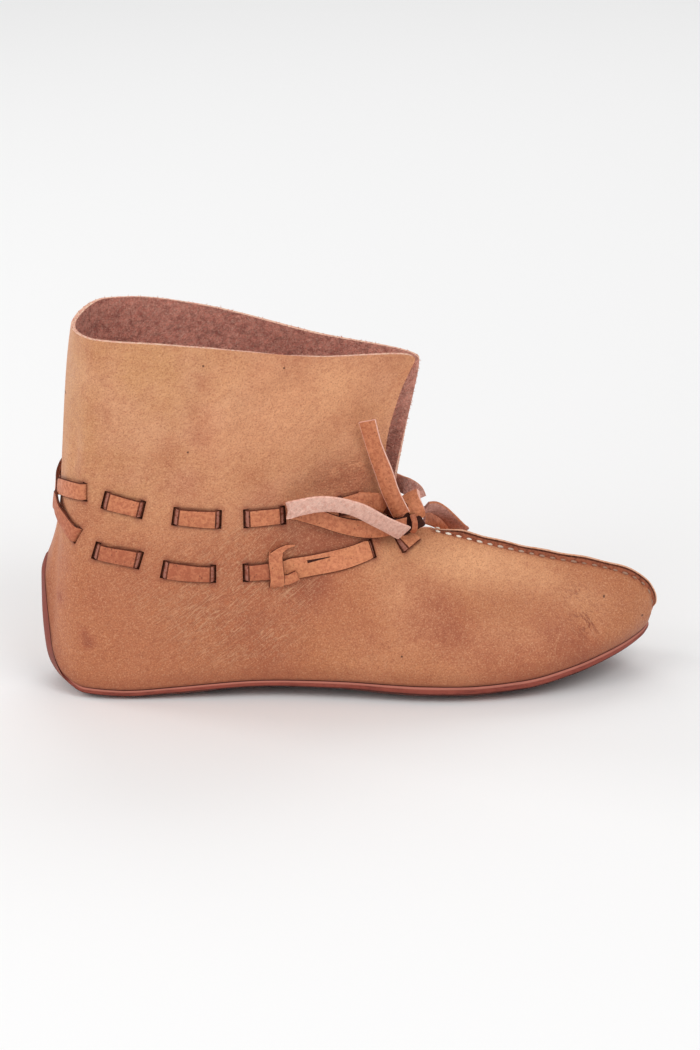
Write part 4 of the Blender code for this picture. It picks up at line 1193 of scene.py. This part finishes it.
# the join's parts: x, z and distance from the wall in mm
joinX = 109.5
band = ((55.2, 0.1), (56.2, 1.5), (58.0, 2.2), (63.0, 2.5), (68.0, 2.2), (70.6, 1.5), (71.6, 0.1))
ear = ((108.0, 69.8, 2.5), (111.0, 72.3, 2.6), (114.0, 73.4, 2.0), (117.5, 74.0, 0.9))
block = ((112.0, 58.6, 2.1), (115.0, 59.0, 2.4), (118.6, 60.0, 2.1))
# the tear is a thin dark strip: painted shade in a lengthwise split of the strap
tear = ((123.5, 66.2, 1.35), (128.0, 66.6, 1.42), (134.5, 67.2, 1.35))
joinParts = (  # places, the way the width lies, first and last width, thickness, finishes
    ([(joinX, z, out) for z, out in band], (1.0, 0.0, 0.15), (0.0066, 0.0066), 0.0014, turnedOver),
    (ear, (0.3, 0.0, -1.0), (0.0045, 0.0008), 0.0012, turnedOver),
    (block, (0.1, 0.0, -1.0), (0.0048, 0.0048), 0.0014, turnedOver),
    (tear, (0.0, 0.0, -1.0), (0.0014, 0.0003), 0.0004, dark),
)


def wovenRings(route, width):
    across = unit(np.cross(route["normal"], np.gradient(route["base"], axis=0)))
    rise = unit(np.cross(np.gradient(route["path"], axis=0), across))
    return strapRings(route["path"], across, rise, width, thong["thickness"])


def wovenOrders(route, order):  # painted shade where the strap dips into a slit, with its turned edge showing between
    depth = np.append((route["state"][:-1] + route["state"][1:]) / 2, 1.0)
    heelward = route["base"][:, 0] + shoe["length"] / 2 < thongEnds["calmTo"]
    orders = []
    (inside, outside), (edgeFrom, edgeTo) = thong["plainLevels"], thong["edgeLevels"]
    for level, calm in zip(depth, heelward):
        plain = calm or level > outside or level < inside
        orders.append(order if plain else turnedEdge if edgeFrom < level < edgeTo else slitShade)
    return orders


def addStrap(name, runs, finishes, replaced=()):
    return addPiece(name, strapMesh(name, runs, finishes), replaced)


lead = strapRings(*strapCurve(thongEnds["highLead"]), thong["width"], thong["thickness"])
high = lead + wovenRings(highRoute, thong["width"])
shadedLead = thongEnds["leadShade"]
highOrders = [slitShade] * shadedLead + [allGrain] * (len(lead) - shadedLead) + wovenOrders(highRoute, grainUp)
addStrap("thong_high_strap", [(high, highOrders)], barFinishes, ["thong_high"])

x = (lowRoute["base"][:, 0] + shoe["length"] / 2) / millimetre
wideFrom, wideTo, wider = thongEnds["wide"]
rampFrom, rampTo = thongEnds["wideRamps"]
swell = smoothStep((x - wideFrom) / rampFrom) * smoothStep((wideTo - x) / rampTo) * (lowRoute["base"][:, 1] < 0)
split = int(np.argmax(x < joinX))
lowOrders = wovenOrders(lowRoute, paleGrain)[:split] + wovenOrders(lowRoute, grainUp)[split:]
low = wovenRings(lowRoute, thong["width"] * (1 + wider * swell * (lowRoute["state"] > 0)))
addStrap("thong_low_strap", [(low, lowOrders)], lowBarFinishes, ["thong_low"])


def joinRings(spots, across, widths, thickness, steps=6):
    route = np.array([onWall("outer", *spot) for spot in spots])
    curve = smoothCurve(route, np.tile(across, (len(route), 1)), steps)
    return strapRings(*curve, np.linspace(*widths, len(curve[0])), thickness)


addStrap("thong_join", [(joinRings(*part), order) for *part, order in joinParts], joinFinishes)
print("thong woven")

# the bow's straps: places in mm from the back of the heel, the middle and the floor, and the way the width lies
bow = {
    "bow_loop_near": (
        (169, -14.0, 77.5, 0.3, 0.0, 1.0),
        (163, -17.5, 77.3, 0.2, 0.0, 1.0),
        (156, -22.5, 78.2, 0.2, 0.1, 1.0),
        (148, -26.0, 79.8, 0.3, 0.1, 1.0),
        (139, -28.0, 82.4, 0.3, 0.1, 1.0),
        (130, -29.5, 86.2, 0.3, 0.1, 1.0),
        (121, -32.0, 90.0, 0.2, 0.0, 1.0),
        (116, -35.5, 92.2, 0.0, -0.1, 1.0),
        (121, -38.5, 94.6, -0.1, -0.2, 1.0),
        (130, -38.5, 96.0, 0.0, -0.3, 1.0),
        (139, -37.0, 94.8, 0.2, -0.3, 0.9),
        (148, -34.0, 91.0, 0.4, -0.3, 0.9),
        (157, -29.5, 84.3, 0.5, -0.3, 0.8),
        (164, -24.0, 78.7, 0.5, -0.3, 0.8),
        (168, -19.0, 75.0, 0.5, -0.3, 0.8),
    ),
    "bow_loop_far": (
        (178, 0.0, 80.5, 0.1, -0.7, 0.8),
        (182, 3.5, 79.5, 0.2, -0.7, 0.8),
        (186, 7.5, 76.0, 0.3, -0.7, 0.7),
        (190, 12.0, 70.8, 0.4, -0.7, 0.6),
        (194, 17.0, 64.5, 0.5, -0.5, 0.6),
        (196, 22.0, 60.3, 0.6, 0.0, 0.7),
        (193, 26.0, 60.0, 0.5, 0.4, 0.7),
        (188, 24.0, 64.0, 0.4, 0.7, 0.6),
        (183, 16.5, 69.5, 0.3, 0.8, 0.5),
        (178, 8.0, 74.5, 0.3, 0.8, 0.3),
    ),
    "bow_end_near": (
        (167, -15.5, 82.8, 1.0, 0.0, 0.3),
        (165, -17.0, 87.5, 1.0, 0.0, 0.3),
        (162, -18.0, 95.0, 1.0, -0.1, 0.3),
        (159, -18.5, 105.0, 1.0, -0.2, 0.3),
        (155, -19.0, 117.0, 1.0, -0.2, 0.3),
        (152, -19.5, 129.0, 1.0, -0.2, 0.3),
    ),
    "bow_end_far": (
        (175, -0.5, 85.0, 0.7, 0.4, 0.5),
        (173.5, 1.0, 88.0, 0.5, 0.4, 0.8),
        (170.5, 3.5, 89.7, 0.2, 0.3, 1.0),
        (168, 6.5, 90.0, 0.1, 0.1, 1.0),
        (165, 12.0, 89.5, 0.1, 0.0, 1.0),
        (160, 19.0, 87.5, 0.2, 0.0, 1.0),
        (154, 23.0, 85.0, 0.2, 0.0, 1.0),
        (147, 24.5, 82.0, 0.2, 0.0, 1.0),
        (140, 26.0, 79.0, 0.2, 0.0, 1.0),
    ),
    "bow_knot": (
        (171, -3.5, 88.0, 0.8, 0.1, 0.5),
        (172, -7.5, 86.0, 0.8, 0.1, 0.5),
        (174, -8.5, 82.5, 0.8, 0.1, 0.5),
        (175, -6.0, 78.5, 0.8, 0.1, 0.5),
    ),
    "knotTurns": (
        (
            (164.5, -13.0, 78.0, 0.5, 0.0, 0.4),
            (166.0, -14.0, 81.0, 0.7, 0.2, -0.2),
            (168.0, -12.0, 83.0, 0.4, 0.2, -0.7),
            (170.5, -8.0, 83.4, 0.1, 0.2, -1.0),
        ),
        (
            (172.0, -11.0, 81.0, 0.9, 0.3, 0.2),
            (173.0, -12.5, 78.0, 1.0, 0.2, 0.2),
            (173.0, -12.5, 75.0, 1.0, 0.1, 0.0),
            (172.0, -11.0, 72.8, 1.0, 0.0, -0.2),
        ),
    ),
    # a dark strap laid in the knot's hollow: painted shade
    "knotShadowFill": (
        (163.0, -8.5, 83.0, 0.6, 0.0, 0.7),
        (167.0, -8.5, 80.0, 0.7, 0.0, 0.7),
        (170.5, -8.0, 76.5, 0.8, 0.0, 0.6),
        (172.5, -7.0, 72.5, 0.9, 0.0, 0.4),
    ),
}


knotSizes = {"wrapWidths": (0.0095, 0.0062), "wrapThickness": 0.0036, "turn": (0.0028, 0.0014), "core": (0.012, 0.003)}


def pathLength(path):
    return float(np.linalg.norm(np.diff(path, axis=0), axis=1).sum())


wrap = strapCurve(bow["bow_knot"])
wrapWidths = np.linspace(*knotSizes["wrapWidths"], len(wrap[0]))
# the wrap takes the paler copy of the strap finish: partly painted highlight where the knot catches the light
knotRuns = [(strapRings(*wrap, wrapWidths, knotSizes["wrapThickness"]), paleWrap)]
knotRuns += [(strapRings(*strapCurve(rows), *knotSizes["turn"]), shaded) for rows in bow["knotTurns"]]
# the dark fill in the knot's hollow is painted shade
knotRuns += [(strapRings(*strapCurve(bow["knotShadowFill"]), *knotSizes["core"]), dark)]
knot = addStrap("bow_knot_wrap", knotRuns, bowFinishes, ["bow_knot"])
cords = (
    ("bow_loop_near", "object", nearLoop),
    ("bow_loop_far", "object", shadedFleshOver),
    ("bow_end_near", "bare", turnedOver),
    ("bow_end_far", "bare", shadedFleshUnder),
)
for name, farEnd, order in cords:
    path, across, rise = strapCurve(bow[name])
    rings = strapRings(path, across, rise, thong["width"], thong["thickness"])
    strap = addStrap(name + "_strap", [(rings, order)], bowFinishes, [name])
    print(name, "is", round(pathLength(path) * 1000), "mm of strap")

# loose fibres on the flesh side and the cut edges, where the leather was left rough
fibres = {"Density": 420000.0, "Fibre Length": 0.0009, "Fibre Width": 0.00018, "Lean": 1.1}
fibresFrom = 0.085  # none grow below this height


def fibreTree(name, sizes, material):
    tree, start, end = sizedTree(name, sizes)
    make = tree.nodes.new
    scatter, spread = make("GeometryNodeDistributePointsOnFaces"), make("GeometryNodeInstanceOnPoints")
    cone, grow, lean = make("GeometryNodeMeshCone"), make("FunctionNodeRandomValue"), make("FunctionNodeRandomValue")
    less, turn, toTurn = make("ShaderNodeMath"), make("FunctionNodeRotateRotation"), make("FunctionNodeEulerToRotation")
    realize, setMaterial = make("GeometryNodeRealizeInstances"), make("GeometryNodeSetMaterial")
    cone.fill_type, grow.data_type, lean.data_type = "NONE", "FLOAT", "FLOAT_VECTOR"
    less.operation, turn.rotation_space = "MULTIPLY", "LOCAL"
    setSockets(scatter, {"Seed": 11})
    setSockets(cone, {"Vertices": 3, "Radius Top": 0.0})
    setSockets(grow, {2: 0.4, 3: 1.5, "Seed": 3})  # shortest and longest fibre
    setSockets(lean, {"Seed": 5})
    setSockets(less, {1: -1.0})
    setSockets(setMaterial, {"Material": material})
    wire(tree, (
        (start, "Geometry", scatter, "Mesh"),
        (start, "Density", scatter, "Density"),
        (start, "Fibre Width", cone, "Radius Bottom"),
        (start, "Fibre Length", cone, "Depth"),
        (start, "Lean", less, 0),
        (less, 0, lean, 0),
        (start, "Lean", lean, 1),
        (lean, 0, toTurn, 0),
        (scatter, "Rotation", turn, "Rotation"),
        (toTurn, 0, turn, "Rotate By"),
        (scatter, "Points", spread, "Points"),
        (cone, "Mesh", spread, "Instance"),
        (turn, 0, spread, "Rotation"),
        (grow, 1, spread, "Scale"),
        (spread, 0, realize, 0),
        (realize, 0, setMaterial, "Geometry"),
        (setMaterial, 0, end, 0),
    ))
    return tree


def fibreMesh():
    shape = bmesh.new()
    shape.from_mesh(upper.data)
    smooth = [f for f in shape.faces if f.material_index not in (1, 2) or f.calc_center_median().z <= fibresFrom]
    bmesh.ops.delete(shape, geom=smooth, context="FACES")
    mesh = bpy.data.meshes.new("roughSide")
    shape.to_mesh(mesh)
    shape.free()
    patch = scratchObject("upper_fibres", mesh)
    setInputs(patch.modifiers.new("fuzz", "NODES"), fibreTree("fibreTree", fibres, fibreTuft), fibres)
    return plainMesh(patch)


fuzz = addPiece("upper_fibres", fibreMesh())
print("fibres:", len(fuzz.data.polygons), "faces")

# floor, light and camera
studio = {
    "floorHalf": 8.0,
    "floor": tone(249, 249, 249),
    "elevation": 18.0,
    "roll": -1.0,
    "distance": 2.0,
    "lens": 148.8,
    "target": (0.0, 0.0, 0.086),
    "targetPixel": (347.5, 497.5),
    "imageSize": (700, 1050),
    "skyStrength": 0.55,
    "lights": (  # place, size and power
        ("keyLight", (0.9, -1.5, 1.6), (1.4, 1.2), 16),
        ("fillLight", (-1.4, -1.2, 1.0), (1.2, 1.2), 9),
        ("backLight", (0.2, 1.5, 1.6), (1.6, 1.0), 9),
        ("rimLight", (-1.5, 0.6, 0.7), (0.5, 1.0), 6),
    ),
}
bpy.ops.mesh.primitive_grid_add(x_subdivisions=2, y_subdivisions=2, size=2 * studio["floorHalf"])
floor = bpy.context.object
floor.name = "studio_floor"
paper = Finish("studioPaper", Specular_IOR_Level=0.05)
paper.colour = studio["floor"]
floor.data.materials.append(paper.paint(0.9))

world = bpy.data.worlds.new("studioWorld")
bpy.context.scene.world = world
world.use_nodes = True
world.node_tree.nodes["Background"].inputs["Color"].default_value = (1, 1, 1, 1)
world.node_tree.nodes["Background"].inputs["Strength"].default_value = studio["skyStrength"]
bpy.context.scene.view_settings.view_transform = "Standard"


def softbox(name, where, size, power):
    light = bpy.data.lights.new(name, "AREA")
    light.shape, light.size, light.size_y, light.energy = "RECTANGLE", size[0], size[1], power
    lamp = bpy.data.objects.new(name, light)
    bpy.context.scene.collection.objects.link(lamp)
    lamp.location = where
    lamp.rotation_euler = (Vector(studio["target"]) - Vector(where)).to_track_quat("-Z", "Y").to_euler()


for light in studio["lights"]:
    softbox(*light)

camera = bpy.data.objects.new("camera", bpy.data.cameras.new("camera"))
bpy.context.scene.collection.objects.link(camera)
bpy.context.scene.camera = camera
tilt, roll = radians(studio["elevation"]), radians(studio["roll"])
forward = Vector((0, cos(tilt), -sin(tilt)))
level = Vector((1, 0, 0))
above = level.cross(forward)
sideways = cos(roll) * level + sin(roll) * above
upwards = -sin(roll) * level + cos(roll) * above
turn = Matrix((sideways, upwards, -forward)).transposed()
camera.matrix_world = Matrix.Translation(Vector(studio["target"]) - forward * studio["distance"]) @ turn.to_4x4()
camera.data.lens, camera.data.sensor_width = studio["lens"], 36.0
wide, tall = studio["imageSize"]
camera.data.shift_x = (wide / 2 - studio["targetPixel"][0]) / tall
camera.data.shift_y = (studio["targetPixel"][1] - tall / 2) / tall
camera.data.clip_end = 100
print("studio set")
